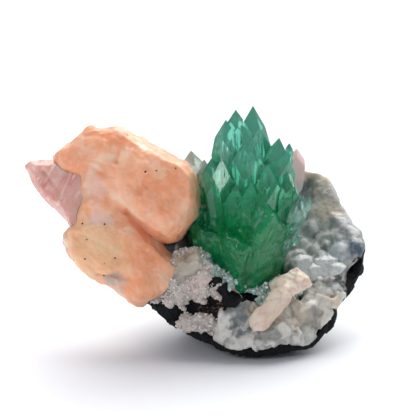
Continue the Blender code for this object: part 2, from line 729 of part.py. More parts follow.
def build_stilbite(bowl):
    """Upper sheaf, pink blade and lower sheaf, each cut to fit what is already there."""
    upper = cut_away(sheaf(UPPER_STILBITE, UPPER_FACES), [bowl])
    cutters = [bowl, swollen_copy("upper_cutter", upper, GAP + 0.1)]
    add_node("upper_stilbite", upper, "peach_stilbite", math.radians(40))
    lower = cut_away(sheaf(LOWER_STILBITE, LOWER_FACES), cutters)
    cutters.append(swollen_copy("lower_cutter", lower, GAP + 0.1))
    add_node("lower_stilbite", lower, "peach_stilbite", math.radians(40))
    blade = cut_away(blade_body(), cutters)
    cutters.append(swollen_copy("blade_cutter", blade, GAP + 0.1))
    add_node("pink_blade", blade, "pink_stilbite")
    return cutters


# ---------------------------------------------------------------- small plates


def tablet(start, stop, half_width, half_thick):
    """A six-sided tablet from start to stop with pointed ends, lying as flat as it can."""
    start, stop = Vector(start), Vector(stop)
    along = (stop - start).normalized()
    across = along.cross(Vector((0, -0.5, 1))).normalized()
    up = across.cross(along)
    middle = (start + stop) / 2
    half_length = (stop - start).length / 2
    corners = [(1, 0, 0.8), (-1, 0, 0.8), (0, 0, 1.0)]
    corners += [(a, b, 0.7) for a in (0.6, -0.6) for b in (1, -1)]
    bm = bmesh.new()
    for end in (-1, 1):
        for a, b, reach in corners:
            offset = along * (end * reach * half_length) + across * (a * half_width)
            place = middle + offset + up * (b * half_thick)
            bm.verts.new(place)
    bmesh.ops.convex_hull(bm, input=bm.verts)
    bmesh.ops.delete(bm, geom=[v for v in bm.verts if not v.link_faces], context="VERTS")
    bmesh.ops.recalc_face_normals(bm, faces=bm.faces)
    return bm


def build_tablets(cutters):
    for name, start, stop, half_width, half_thick, kind in TABLETS:
        body = cut_away(tablet(start, stop, half_width, half_thick), cutters)
        cutters = cutters + [swollen_copy(name + "_cutter", body, GAP)]
        add_node(name, body, kind)


def main():
    clear_scene()
    bowl = build_bowl()
    cutters = build_stilbite(bowl)
    grow_crystals(green_table() + REAR_CRYSTALS, cutters)
    build_tablets([bowl])


main()
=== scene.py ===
# %% [markdown]
# # A green apophyllite specimen
# A cabinet specimen of apophyllite and stilbite: a shell of black basalt, crusts of chalcedony and quartz
# on it, a cluster of glassy green crystals on its floor, and two peach sheaves hanging over its left rim.
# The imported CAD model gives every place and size. Each step below takes the plain CAD solids of one kind
# of stone, gives them the surface that the stone grows with, and then gives them its finish.

import json
import math
import random

import bmesh
import bpy
from mathutils import Matrix, Vector, noise

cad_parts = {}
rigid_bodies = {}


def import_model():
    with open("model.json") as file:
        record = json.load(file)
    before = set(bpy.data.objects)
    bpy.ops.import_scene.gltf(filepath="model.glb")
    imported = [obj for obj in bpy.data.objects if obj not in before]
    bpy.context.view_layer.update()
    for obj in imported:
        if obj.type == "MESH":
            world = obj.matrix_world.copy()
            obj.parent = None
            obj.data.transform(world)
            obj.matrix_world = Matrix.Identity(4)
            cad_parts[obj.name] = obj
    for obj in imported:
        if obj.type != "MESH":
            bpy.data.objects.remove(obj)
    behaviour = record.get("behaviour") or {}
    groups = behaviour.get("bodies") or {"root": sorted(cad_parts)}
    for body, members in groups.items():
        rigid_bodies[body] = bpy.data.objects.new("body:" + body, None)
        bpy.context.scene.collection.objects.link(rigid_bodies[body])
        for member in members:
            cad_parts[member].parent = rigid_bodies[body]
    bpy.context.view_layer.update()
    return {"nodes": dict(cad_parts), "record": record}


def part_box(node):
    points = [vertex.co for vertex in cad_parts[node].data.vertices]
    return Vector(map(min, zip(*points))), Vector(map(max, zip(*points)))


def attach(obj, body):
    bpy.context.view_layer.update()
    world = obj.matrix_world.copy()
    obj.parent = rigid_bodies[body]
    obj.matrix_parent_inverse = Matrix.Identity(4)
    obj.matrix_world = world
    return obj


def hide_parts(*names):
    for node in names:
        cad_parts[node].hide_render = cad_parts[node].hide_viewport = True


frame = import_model()
MM = 0.001

# %% [markdown]
# ## Floor, light and camera
# A specimen is shown on a plain white sweep under soft light, so that its own colours carry the picture.
# One wide panel of the white tent, above and a little behind, gives the soft shadow in front. A small lamp
# at the left shapes the crystals. The lens is long, which keeps the crystals upright.

# %% Floor, light and camera
VIEW_TARGET = Vector((-0.00616, 0.0, 0.0378))
VIEW_DISTANCE = 0.35
VIEW_HEIGHT = math.radians(15)  # how far the camera looks down
LENS = 108.17
PANEL_TOWARD = (0.22, 0.55, 0.82)
PANEL_FADES = 0.70  # the panel's edge, as the cosine of the angle from its middle
PANEL_FULL = 0.96  # where it is at its brightest
PANEL_LIGHT = 4.3
TENT_LIGHT = 0.30
FLOOR_WHITE = (0.87, 0.885, 0.93, 1)


def place_lamp(name, place, target, size, power):
    """A square soft lamp that looks at target."""
    data = bpy.data.lights.new(name, "AREA")
    data.size = size
    data.energy = power
    lamp = bpy.data.objects.new(name, data)
    lamp.location = place
    lamp.rotation_euler = (Vector(target) - Vector(place)).to_track_quat("-Z", "Y").to_euler()
    bpy.context.scene.collection.objects.link(lamp)
    return lamp


def pale_sky(toward, overhead, level):
    """A dim white tent with one wide bright panel in the direction toward."""
    world = bpy.data.worlds.new("sky")
    bpy.context.scene.world = world
    world.use_nodes = True
    nodes, links = world.node_tree.nodes, world.node_tree.links
    direction = nodes.new("ShaderNodeTexCoord").outputs["Generated"]
    facing = nodes.new("ShaderNodeVectorMath")
    facing.operation = "DOT_PRODUCT"
    facing.inputs[1].default_value = Vector(toward).normalized()
    links.new(direction, facing.inputs[0])
    ramp = nodes.new("ShaderNodeMapRange")
    ramp.interpolation_type = "SMOOTHSTEP"
    links.new(facing.outputs["Value"], ramp.inputs["Value"])
    ramp.inputs["From Min"].default_value = PANEL_FADES
    ramp.inputs["From Max"].default_value = PANEL_FULL
    light = nodes.new("ShaderNodeMix")
    light.data_type = "RGBA"
    light.inputs[6].default_value = (0.95 * level, 0.97 * level, 1.08 * level, 1)
    light.inputs[7].default_value = (overhead, overhead, 0.98 * overhead, 1)
    links.new(ramp.outputs[0], light.inputs[0])
    links.new(light.outputs[2], nodes["Background"].inputs["Color"])


def lay_floor(half_width):
    """A plain pale floor at the height of the foot."""
    mesh = bpy.data.meshes.new("floor")
    corners = [(-1, -1, 0), (1, -1, 0), (1, 1, 0), (-1, 1, 0)]
    mesh.from_pydata([Vector(c) * half_width for c in corners], [], [(0, 1, 2, 3)])
    floor = bpy.data.objects.new("floor", mesh)
    bpy.context.scene.collection.objects.link(floor)
    paint = bpy.data.materials.new("floor_paint")
    paint.use_nodes = True
    shader = paint.node_tree.nodes["Principled BSDF"]
    shader.inputs["Base Color"].default_value = FLOOR_WHITE
    shader.inputs["Roughness"].default_value = 0.7
    mesh.materials.append(paint)
    return floor


camera_data = bpy.data.cameras.new("camera")
camera_data.lens = LENS
camera_data.sensor_width = 36
camera = bpy.data.objects.new("camera", camera_data)
camera.location = VIEW_TARGET + VIEW_DISTANCE * Vector((0, -math.cos(VIEW_HEIGHT), math.sin(VIEW_HEIGHT)))
camera.rotation_euler = (math.pi / 2 - VIEW_HEIGHT, 0, 0)
bpy.context.scene.collection.objects.link(camera)
bpy.context.scene.camera = camera

lay_floor(half_width=3.0)
pale_sky(PANEL_TOWARD, PANEL_LIGHT, TENT_LIGHT)
place_lamp("lamp_left", (-0.35, -0.38, 0.32), VIEW_TARGET, size=0.16, power=0.60)
bpy.context.scene.view_settings.view_transform = "Standard"
print("camera at:", [round(c, 3) for c in camera.location])

# %% [markdown]
# ## Small helpers for nodes
# Every finish here is made of the same few things: soft clouds, a mix of two colours, and a bump. Short
# helpers keep each stone's own recipe readable. All patterns are measured in millimetres on the Object
# coordinates, so a pebble of 3 mm is 3 mm on every piece.

# %% Node helpers
def add(tree, kind, inputs=None, **settings):
    """Adds a node. inputs maps a socket's name or number to a value or to another node's socket."""
    node = tree.nodes.new(kind)
    for key, value in settings.items():
        setattr(node, key, value)
    for key, value in (inputs or {}).items():
        if isinstance(value, bpy.types.NodeSocket):
            tree.links.new(value, node.inputs[key])
        else:
            node.inputs[key].default_value = value
    return node


def math_node(tree, operation, first, second=0.0):
    """A Math node's result."""
    return add(tree, "ShaderNodeMath", {0: first, 1: second}, operation=operation).outputs[0]


def clouds(tree, coords, size, detail=3.0, warp=0.0):
    """Soft noise, from 0 to 1, with blotches of about this size in millimetres."""
    inputs = {"Vector": coords, "Scale": 1 / size, "Detail": detail, "Distortion": warp, "Roughness": 0.5}
    return add(tree, "ShaderNodeTexNoise", inputs).outputs[0]


def between(tree, value, low, high):
    """0 below low, 1 above high, and smooth between them."""
    inputs = {"Value": value, "From Min": low, "From Max": high}
    return add(tree, "ShaderNodeMapRange", inputs, interpolation_type="SMOOTHSTEP").outputs[0]


def mix(tree, share, first, second):
    """The second colour over the first, by share."""
    first = (*first, 1) if isinstance(first, tuple) and len(first) == 3 else first
    second = (*second, 1) if isinstance(second, tuple) and len(second) == 3 else second
    inputs = {0: share, 6: first, 7: second}
    return add(tree, "ShaderNodeMix", inputs, data_type="RGBA").outputs[2]


def drawn_along(tree, coords, axis):
    """Coordinates that draw a pattern out along an axis: the nearer its length is to 1, the longer."""
    along = add(tree, "ShaderNodeVectorMath", {0: coords, 1: axis}, operation="DOT_PRODUCT").outputs["Value"]
    drawn = add(tree, "ShaderNodeVectorMath", {0: axis, "Scale": along}, operation="SCALE").outputs[0]
    return add(tree, "ShaderNodeVectorMath", {0: coords, 1: drawn}, operation="SUBTRACT").outputs[0]


def patch(tree, coords, centre, radius):
    """1 inside a ragged ball round a place in millimetres, fading to 0 outside it."""
    ragged = add(tree, "ShaderNodeTexNoise", {"Vector": coords, "Scale": 1.6 / radius, "Detail": 4.0})
    centred = {0: ragged.outputs[1], 1: (0.5, 0.5, 0.5)}
    shift = add(tree, "ShaderNodeVectorMath", centred, operation="SUBTRACT")
    shift = add(tree, "ShaderNodeVectorMath", {0: shift.outputs[0], "Scale": radius * 2.2}, operation="SCALE")
    moved = add(tree, "ShaderNodeVectorMath", {0: coords, 1: shift.outputs[0]}, operation="ADD")
    away = add(tree, "ShaderNodeVectorMath", {0: moved.outputs[0], 1: centre}, operation="DISTANCE")
    return between(tree, away.outputs["Value"], radius, radius * 0.45)


def finish(name, roughness, specular=0.5):
    """A new material: its node tree, its Principled shader and its coordinates in millimetres."""
    material = bpy.data.materials.new(name)
    material.use_nodes = True
    tree = material.node_tree
    shader = tree.nodes["Principled BSDF"]
    shader.inputs["Roughness"].default_value = roughness
    shader.inputs["Specular IOR Level"].default_value = specular
    place = add(tree, "ShaderNodeTexCoord").outputs["Object"]
    coords = add(tree, "ShaderNodeVectorMath", {0: place, "Scale": 1 / MM}, operation="SCALE").outputs[0]
    return material, tree, shader, coords


def roughen(tree, shader, height, depth):
    """Bump of this depth in millimetres from a pattern between 0 and 1."""
    bump = add(tree, "ShaderNodeBump", {"Height": height, "Distance": depth * MM, "Strength": 1.0})
    tree.links.new(bump.outputs[0], shader.inputs["Normal"])


def glow_within(shader, weight, depth, spread):
    """Light that enters the stone and comes out again nearby; depth is in millimetres."""
    shader.inputs["Subsurface Weight"].default_value = weight
    shader.inputs["Subsurface Scale"].default_value = depth * MM
    shader.inputs["Subsurface Radius"].default_value = spread


def read_attribute(tree, name):
    """A number stored on the mesh."""
    return add(tree, "ShaderNodeAttribute", attribute_name=name).outputs["Fac"]


def tinted_patches(tree, coords, colour, patches):
    """Lays ragged patches over a colour; each has a place, a radius, a tint and how much it covers."""
    for centre, radius, tint, share in patches:
        covered = math_node(tree, "MULTIPLY", patch(tree, coords, centre, radius), share)
        colour = mix(tree, covered, colour, tint)
    return colour


# %% [markdown]
# ## Small helpers for pieces
# A CAD node's mesh must not change, so a visible piece starts as a copy of it. Touching stones keep a
# small gap in the CAD model; `grow` swells the copy a little and closes it. A voxel Remesh then turns the
# few large faces into an even fine skin that a relief can be pressed into.

# %% Piece helpers
def copy_of(nodes, name, grow):
    """A mesh object that holds merged copies of CAD nodes, each swollen by grow millimetres."""
    bm = bmesh.new()
    for node in nodes:
        bm.from_mesh(frame["nodes"][node].data)
    bmesh.ops.remove_doubles(bm, verts=bm.verts, dist=0.01 * MM)
    bm.normal_update()
    moves = [v.normal * min(v.calc_shell_factor(), 1.6) * grow * MM for v in bm.verts]
    for vertex, move in zip(bm.verts, moves):
        vertex.co += move
    return piece_from(bm, name)


def piece_from(bm, name):
    """Turns a bmesh into an object at the origin."""
    mesh = bpy.data.meshes.new(name)
    bm.to_mesh(mesh)
    bm.free()
    piece = bpy.data.objects.new(name, mesh)
    bpy.context.scene.collection.objects.link(piece)
    return piece


def bake(piece):
    """Puts the modifiers' result into the mesh and removes them."""
    bpy.context.view_layer.update()
    shown = piece.evaluated_get(bpy.context.evaluated_depsgraph_get())
    mesh = bpy.data.meshes.new_from_object(shown)
    piece.modifiers.clear()
    piece.data = mesh
    mesh.name = piece.name
    return piece


def skin(piece, voxel, smoothing):
    """An even fine skin over the piece, with its corners rounded by some smoothing steps."""
    remesh = piece.modifiers.new("skin", "REMESH")
    remesh.mode = "VOXEL"
    remesh.voxel_size = voxel * MM
    remesh.use_smooth_shade = True
    if smoothing:
        soften = piece.modifiers.new("soften", "SMOOTH")
        soften.iterations = smoothing
        soften.factor = 0.5
    return bake(piece)


def press(piece, moves):
    """Pulls the skin out or in like clay: each move has a place and a reach, then a push, in millimetres."""
    for centre, reach, push in moves:
        centre, push = Vector(centre) * MM, Vector(push) * MM
        for vertex in piece.data.vertices:
            near = (vertex.co - centre).length / (reach * MM)
            if near < 1:
                vertex.co += push * (1 - near * near) ** 2
    return piece


def groove(piece, start, end, width, depth):
    """Presses a crease of this width and depth into the skin between two places."""
    start, end = Vector(start) * MM, Vector(end) * MM
    run = end - start
    normals = [vertex.normal.copy() for vertex in piece.data.vertices]
    for vertex, normal in zip(piece.data.vertices, normals):
        share = min(max((vertex.co - start).dot(run) / run.length_squared, 0), 1)
        away = (vertex.co - start - run * share).length / (width * MM)
        if away < 3:
            vertex.co -= normal * depth * MM * math.exp(-away * away)
    return piece


def melt(piece, centre, reach, steps):
    """Smooths the skin near a place, so that what meets there looks grown together."""
    bm = bmesh.new()
    bm.from_mesh(piece.data)
    near = [v for v in bm.verts if (v.co - Vector(centre) * MM).length < reach * MM]
    for _ in range(steps):
        bmesh.ops.smooth_vert(bm, verts=near, factor=0.5, use_axis_x=True, use_axis_y=True, use_axis_z=True)
    bm.to_mesh(piece.data)
    bm.free()
    return piece


def settle(piece, nodes=()):
    """Attaches the piece to the root body, hides the CAD nodes that it stands for and prints its triangles.
    """
    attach(piece, "root")
    if nodes:
        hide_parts(*nodes)
    triangles = sum(len(p.vertices) - 2 for p in piece.data.polygons)
    print(f"{piece.name}: {triangles} triangles")
    return piece


# %% [markdown]
# ## The relief that stones grow with
# Chalcedony grows in small domes, basalt breaks into rough lumps, and a stilbite sheaf is drawn out in
# ribs. All are one rule with other numbers: wide lumps, plus round pebbles, plus flat broken plates, plus a
# fine grain that can be drawn out along one direction. One Geometry Nodes tree holds that rule and moves
# each point of the skin along its normal. It stores how high a pebble stands as `relief` and how high a
# plate stands as `level`, so a finish can be pale on what stands up and paint shade into the creases.

# %% Relief tree
def new_tree(name, sockets):
    """A geometry tree with these inputs, its input node and a function that ends it."""
    tree = bpy.data.node_groups.new(name, "GeometryNodeTree")
    tree.interface.new_socket("Geometry", in_out="INPUT", socket_type="NodeSocketGeometry")
    tree.interface.new_socket("Geometry", in_out="OUTPUT", socket_type="NodeSocketGeometry")
    for socket_name, kind, value in sockets:
        socket = tree.interface.new_socket(socket_name, in_out="INPUT", socket_type="NodeSocket" + kind)
        if value is not None:
            socket.default_value = value
    tree.interface.new_socket("Stone", in_out="INPUT", socket_type="NodeSocketMaterial")
    return tree, tree.nodes.new("NodeGroupInput").outputs


def end_tree(tree, geometry, stone):
    """Ends a tree in plain geometry with its material."""
    plain = add(tree, "GeometryNodeRealizeInstances", {0: geometry})
    dressed = add(tree, "GeometryNodeSetMaterial", {"Geometry": plain.outputs[0], "Material": stone})
    tree.links.new(dressed.outputs[0], tree.nodes.new("NodeGroupOutput").inputs[0])
    return tree


def run_tree(piece, tree, stone, **values):
    """Runs a tree on a piece and keeps the result as a plain mesh."""
    modifier = piece.modifiers.new(tree.name, "NODES")
    modifier.node_group = tree
    values = {key.replace("_", " "): value for key, value in values.items()} | {"stone": stone}
    for socket in tree.interface.items_tree:
        if socket.in_out == "INPUT" and socket.name.lower() in values:
            modifier[socket.identifier] = values[socket.name.lower()]
    return bake(piece)


def relief_tree():
    """Moves each point along its normal by lumps, pebbles, plates and grain; sizes are in millimetres."""
    sockets = [
        ("Lump Size", "Float", 8.0),
        ("Lump Height", "Float", 0.0),
        ("Pebble Size", "Float", 3.0),
        ("Pebble Height", "Float", 0.0),
        ("Plate Size", "Float", 3.0),
        ("Plate Height", "Float", 0.0),
        ("Grain Size", "Float", 1.0),
        ("Grain Height", "Float", 0.0),
        ("Grain Along", "Vector", (0.0, 0.0, 0.0)),
        ("Seed", "Float", 0.0),
    ]
    tree, given = new_tree("stone_relief", sockets)
    place = add(tree, "GeometryNodeInputPosition").outputs[0]
    coords = add(tree, "ShaderNodeVectorMath", {0: place, "Scale": 1 / MM}, operation="SCALE").outputs[0]
    coords = add(tree, "ShaderNodeVectorMath", {0: coords, 1: given["Seed"]}, operation="ADD").outputs[0]

    def cloud(where, size, detail):
        scale = math_node(tree, "DIVIDE", 1.0, size)
        inputs = {"Vector": where, "Scale": scale, "Detail": detail, "Roughness": 0.55}
        fac = add(tree, "ShaderNodeTexNoise", inputs).outputs
        return math_node(tree, "SUBTRACT", fac[0], 0.5), fac[1]

    lump, drift = cloud(coords, given["Lump Size"], 3.0)
    lump = math_node(tree, "MULTIPLY", lump, math_node(tree, "MULTIPLY", given["Lump Height"], 2.0))

    sway, shift = cloud(coords, given["Pebble Size"], 1.0)
    shift = add(tree, "ShaderNodeVectorMath", {0: shift, "Scale": given["Pebble Size"]}, operation="SCALE")
    warped = add(tree, "ShaderNodeVectorMath", {0: coords, 1: shift.outputs[0]}, operation="ADD").outputs[0]
    per_mm = math_node(tree, "DIVIDE", 1.0, given["Pebble Size"])
    cells = add(tree, "ShaderNodeTexVoronoi", {"Vector": warped, "Scale": per_mm}).outputs["Distance"]
    dome = math_node(tree, "SUBTRACT", 1.0, math_node(tree, "POWER", cells, 2.0))
    dome = math_node(tree, "SQRT", math_node(tree, "MAXIMUM", dome, 0.0))
    pebble = math_node(tree, "MULTIPLY", math_node(tree, "SUBTRACT", dome, 0.6), given["Pebble Height"])

    grain, _ = cloud(drawn_along(tree, coords, given["Grain Along"]), given["Grain Size"], 4.0)
    grain = math_node(tree, "MULTIPLY", grain, math_node(tree, "MULTIPLY", given["Grain Height"], 2.0))

    per_mm = math_node(tree, "DIVIDE", 1.0, given["Plate Size"])
    plates = add(tree, "ShaderNodeTexVoronoi", {"Vector": warped, "Scale": per_mm}).outputs["Color"]
    level = add(tree, "ShaderNodeSeparateXYZ", {0: plates}).outputs["X"]
    plate = math_node(tree, "MULTIPLY", math_node(tree, "SUBTRACT", level, 0.5), given["Plate Height"])

    height = math_node(tree, "ADD", lump, pebble)
    height = math_node(tree, "ADD", height, math_node(tree, "ADD", plate, grain))
    normal = add(tree, "GeometryNodeInputNormal").outputs[0]
    scaled = {0: normal, "Scale": math_node(tree, "MULTIPLY", height, MM)}
    offset = add(tree, "ShaderNodeVectorMath", scaled, operation="SCALE").outputs[0]
    moved = add(tree, "GeometryNodeSetPosition", {"Geometry": given["Geometry"], "Offset": offset})
    kept = moved.outputs[0]
    for name, value in (("relief", dome), ("level", level)):
        stored = {"Geometry": kept, "Name": name, "Value": value}
        stored = add(tree, "GeometryNodeStoreNamedAttribute", stored, data_type="FLOAT", domain="POINT")
        kept = stored.outputs[0]
    return end_tree(tree, kept, given["Stone"])


RELIEF = relief_tree()
print("relief inputs:", [item.name for item in RELIEF.interface.items_tree if item.in_out == "INPUT"])

# %% [markdown]
# ## Basalt
# The shell is broken volcanic rock: nearly black, dull, with a coarse broken grain and a few brown
# specks of weathering. Its shape carries the roughness, and a small bump adds the pits that are too fine
# for the mesh.

# %% Basalt
def basalt_finish():
    """Nearly black, dull and pitted, with a rusty stain under the front druse."""
    material, tree, shader, coords = finish("basalt_stone", 0.72, 0.14)
    broad = clouds(tree, coords, 5.0, 4.0)
    fine = clouds(tree, coords, 0.6, 4.0)
    colour = mix(tree, between(tree, fine, 0.35, 0.75), (0.003, 0.0035, 0.0045), (0.016, 0.017, 0.020))
    colour = mix(tree, between(tree, broad, 0.58, 0.70), colour, (0.022, 0.020, 0.019))
    stained = patch(tree, coords, (-5, -15.5, 13), 5)
    rust = math_node(tree, "MULTIPLY", between(tree, fine, 0.55, 0.62), stained)
    colour = mix(tree, rust, colour, (0.16, 0.085, 0.035))
    tree.links.new(colour, shader.inputs["Base Color"])
    tree.links.new(between(tree, fine, -0.4, 1.2), shader.inputs["Roughness"])
    roughen(tree, shader, clouds(tree, coords, 0.35, 5.0), 0.16)
    return material


basalt = skin(copy_of(["basalt_matrix"], "basalt_shell", grow=0.0), voxel=0.42, smoothing=2)
press(basalt, [
    ((-15, -15, 14.5), 4.0, (0, -0.8, 0.6)),
    ((-9, -15, 17.5), 4.5, (0, -1.6, 1.2)),
    ((-3.5, -14, 20), 5.0, (0, -2.8, 1.8)),
    ((1, -15, 16.5), 6.0, (0, -3.2, 0.6)),
    ((36, -2, 21), 5.0, (0.8, -1.6, 0.8)),
    ((34, -9, 11), 6.5, (-1.8, 0.8, 0.4)),
    ((29, 23.2, 41.8), 3.0, (0, 0.6, -1.6)),
    ((-4, -16, 12.0), 4.5, (0, -1.6, 0.4)),
])
run_tree(
    basalt, RELIEF, basalt_finish(),
    lump_size=4.5, lump_height=0.7, pebble_size=2.4, pebble_height=-0.5, grain_size=0.9, grain_height=0.25,
    plate_size=2.2, plate_height=0.7,
)
for vertex in basalt.data.vertices:
    vertex.co.z = max(vertex.co.z, 0)  # the resting face stays flat
settle(basalt, ["basalt_matrix"])

# %% [markdown]
# ## Chalcedony crusts
# The inside of the shell is lined with chalcedony, a waxy grey skin that grows as small domes. It is tan
# and cream high on the rear wall, blue-grey lower down, with dark patches in some hollows. The front
# shell is smoother and more translucent. The colour is laid on as ragged patches round places on the
# piece, over clouds of grey, and painted shade darkens the creases between the domes.

# %% Chalcedony
def chalcedony_finish(name, low, high, patches, glow, steps=0.25, crest=(0.68, 0.69, 0.67)):
    """Waxy grey stone, from low to high in clouds, with painted shade in its creases; steps is how much the
    raised plates take of crest.
    """
    material, tree, shader, coords = finish(name, 0.38, 0.5)
    soft = clouds(tree, coords, 6.0, 5.0, 0.6)
    mottle = clouds(tree, coords, 1.3, 4.0)
    colour = mix(tree, between(tree, soft, 0.36, 0.64), low, high)
    colour = tinted_patches(tree, coords, colour, patches)
    # Painted shade: where the pebbles dip, the colour darkens towards a third of low.
    crease = between(tree, read_attribute(tree, "relief"), 0.85, 0.45)
    colour = mix(tree, math_node(tree, "MULTIPLY", crease, 0.55), colour, tuple(0.35 * c for c in low))
    stepped = math_node(tree, "MULTIPLY", between(tree, read_attribute(tree, "level"), 0.45, 0.95), steps)
    colour = mix(tree, stepped, colour, crest)
    pale = math_node(tree, "MULTIPLY", between(tree, mottle, 0.52, 0.70), 0.25)
    colour = mix(tree, pale, colour, crest)
    tree.links.new(colour, shader.inputs["Base Color"])
    tree.links.new(between(tree, mottle, -0.5, 1.9), shader.inputs["Roughness"])
    roughen(tree, shader, clouds(tree, coords, 0.5, 4.0), 0.05)
    glow_within(shader, glow, 1.4, (1.0, 0.95, 0.85))
    return material


TAN = (0.70, 0.60, 0.48)
SMOKE = (0.06, 0.065, 0.07)
ICE = (0.62, 0.67, 0.70)
RUST = (0.50, 0.24, 0.08)
BLACK = (0.012, 0.013, 0.016)

# %% [markdown]
# ## The rear wall and the dark lining
# The high wall is the main sheet of chalcedony. A few moves press it out or in as if it were clay, where it
# has a scalloped edge, a hollow or one larger dome. The lining behind the sheaves lies in shade; it is the
# same blue-grey stone, with that shade painted into its colour as a nearly black blue.

# %% Rear wall and left lining
rear_patches = [
    ((24, 24, 44), 9.0, TAN, 0.9),
    ((21.0, 22.3, 38.8), 3.2, SMOKE, 0.45),
    ((28, 16, 34.0), 7.5, (0.70, 0.58, 0.47), 0.85),
    ((20, 12, 30.0), 4.0, SMOKE, 0.5),
    ((18, 8, 27), 6.0, (0.38, 0.44, 0.47), 0.6),
    ((28.1, 7.0, 24.6), 2.0, (0.72, 0.72, 0.68), 0.9),
    ((30.4, 3.2, 23.8), 4.2, ICE, 0.95),
    ((35.5, 1.0, 26.0), 3.2, (0.05, 0.09, 0.15), 0.9),
    ((19.5, -2.5, 20.0), 4.0, (0.03, 0.08, 0.09), 0.9),
    ((37.5, 1, 21.5), 3.0, BLACK, 1.0),
]
rear_wall_stone = chalcedony_finish(
    "rear_wall_chalcedony", (0.26, 0.275, 0.285), (0.58, 0.58, 0.56), rear_patches, glow=0.25, steps=0.1,
)
rear_wall = skin(copy_of(["rear_wall_crust"], "rear_wall", grow=0.3), voxel=0.36, smoothing=3)
press(rear_wall, [
    ((23.0, 22.0, 39.0), 4.0, (0, 0.9, -0.3)),
    ((26.0, 22.5, 43.5), 3.5, (0, -0.4, 1.0)),
    ((28.1, 7.0, 24.6), 2.2, (-0.3, -1.3, 1.0)),
    ((31.5, 3.2, 24.6), 3.0, (0, -0.8, 1.2)),
])
run_tree(
    rear_wall, RELIEF, rear_wall_stone,
    lump_size=7.0, lump_height=1.1, pebble_size=2.6, pebble_height=0.4, grain_size=0.9, grain_height=0.2,
    plate_size=2.6, plate_height=0.1,
)
settle(rear_wall, ["rear_wall_crust"])

# Painted shade: the lining's blue-grey is darkened nearly to black, and darker still in one patch, for the
# shade it lies in.
blue_painted_shade_patches = [((-14, 8, 26), 6.0, (0.02, 0.05, 0.075), 0.7)]
blue_stone_painted_shade = chalcedony_finish(
    "blue_chalcedony_skin", (0.015, 0.03, 0.045), (0.09, 0.13, 0.16), blue_painted_shade_patches, glow=0.3, steps=0.05,
    crest=(0.25, 0.31, 0.34),
)
rear_left = skin(copy_of(["rear_left_crust"], "rear_left_lining", grow=0.3), voxel=0.40, smoothing=3)
run_tree(
    rear_left, RELIEF, blue_stone_painted_shade,
    lump_size=8.0, lump_height=0.5, pebble_size=2.6, pebble_height=0.9, grain_size=0.7, grain_height=0.12,
    seed=3.0,
)
settle(rear_left, ["rear_left_crust"])

# %% [markdown]
# ## The front shell and the beige knob
# The crust on the front lip is broken into flat plates with pale edges, so here the plates of the relief do
# most of the work. Cream and rust patches lie to the right, and the cut face at the left is darker.

# %% Front shell and beige knob
front_patches = [
    ((2, -17.4, 14.4), 4.0, (0.20, 0.23, 0.24), 0.9),
    ((2.5, -19, 9.5), 4.5, (0.13, 0.16, 0.17), 0.9),
    ((4, -20, 4.5), 3.0, (0.85, 0.83, 0.77), 0.8),
    ((-2.5, -19.5, 10.5), 2.6, (0.82, 0.80, 0.74), 0.8),
    ((6, -16, 17.5), 2.6, (0.80, 0.77, 0.70), 0.8),
    ((10, -15, 14), 6.0, (0.68, 0.54, 0.40), 0.9),
    ((18, -13, 12), 7.0, (0.76, 0.66, 0.53), 0.85),
    ((24, -13, 9), 5.0, (0.50, 0.47, 0.42), 0.7),
    ((28.5, -10.3, 13.8), 3.4, (0.56, 0.40, 0.24), 0.9),
    ((28.5, -11.0, 13.0), 1.8, RUST, 0.7),
    ((-4, -18.5, 13), 2.6, (0.80, 0.77, 0.70), 0.8),
    ((31.0, -6.4, 17.3), 4.0, ICE, 0.7),
    ((34.5, -4, 18.5), 5.5, BLACK, 1.0),
    ((36.5, 0.0, 23.0), 3.5, BLACK, 1.0),
    ((-2, -19, 11), 3.2, (0.74, 0.74, 0.70), 0.8),
    ((3, -15.5, 18.5), 3.0, (0.74, 0.74, 0.70), 0.7),
]
front_stone = chalcedony_finish(
    "front_chalcedony", (0.32, 0.32, 0.30), (0.62, 0.61, 0.57), front_patches, glow=0.5, steps=0.55,
    crest=(0.82, 0.79, 0.72),
)
front_shell = skin(copy_of(["front_crust"], "front_shell", grow=0.3), voxel=0.36, smoothing=3)
press(front_shell, [
    ((-1, -16, 17), 5.0, (1.4, 2.6, -1.6)),
    ((34.5, -4, 19.5), 6.5, (-2.4, 2.6, -1.4)),
    ((7, -17, 13), 4.5, (0, 1.2, -0.6)),
])
run_tree(
    front_shell, RELIEF, front_stone,
    lump_size=6.0, lump_height=0.7, pebble_size=3.2, pebble_height=0.3, grain_size=0.8, grain_height=0.14,
    plate_size=3.4, plate_height=1.1, seed=7.0,
)
settle(front_shell, ["front_crust"])

beige_stone = chalcedony_finish(
    "beige_chalcedony_skin", (0.40, 0.34, 0.26), (0.60, 0.54, 0.44), patches=[], glow=0.6,
)
beige_knob = skin(copy_of(["beige_lump"], "beige_knob", grow=0.3), voxel=0.30, smoothing=8)
run_tree(
    beige_knob, RELIEF, beige_stone,
    lump_size=4.0, lump_height=0.5, pebble_size=2.4, pebble_height=0.5, grain_size=0.6, grain_height=0.10,
    seed=5.0,
)
settle(beige_knob, ["beige_lump"])

# %% [markdown]
# ## Quartz druse
# A druse is a carpet of small quartz points. The carpet itself is a lumpy skin, and the points are one
# crystal, a six-sided prism with a pyramid, set out over it by a second tree: scattered on the faces,
# turned along the surface, tilted and scaled at random. A stored `tint` gives each its own shade.

# %% Quartz points
def quartz_point():
    """One six-sided crystal of width 1 and height 1, its foot sunk below the surface."""
    bm = bmesh.new()
    rings = [[], []]
    for ring, height in zip(rings, (-0.35, 0.55)):
        for side in range(6):
            angle = side * math.pi / 3
            ring.append(bm.verts.new((0.5 * math.cos(angle), 0.5 * math.sin(angle), height)))
    tip = bm.verts.new((0.05, 0.03, 1.0))
    for side in range(6):
        after = (side + 1) % 6
        bm.faces.new((rings[0][side], rings[0][after], rings[1][after], rings[1][side]))
        bm.faces.new((rings[1][side], rings[1][after], tip))
    bm.faces.new(list(reversed(rings[0])))
    return piece_from(bm, "quartz_point")


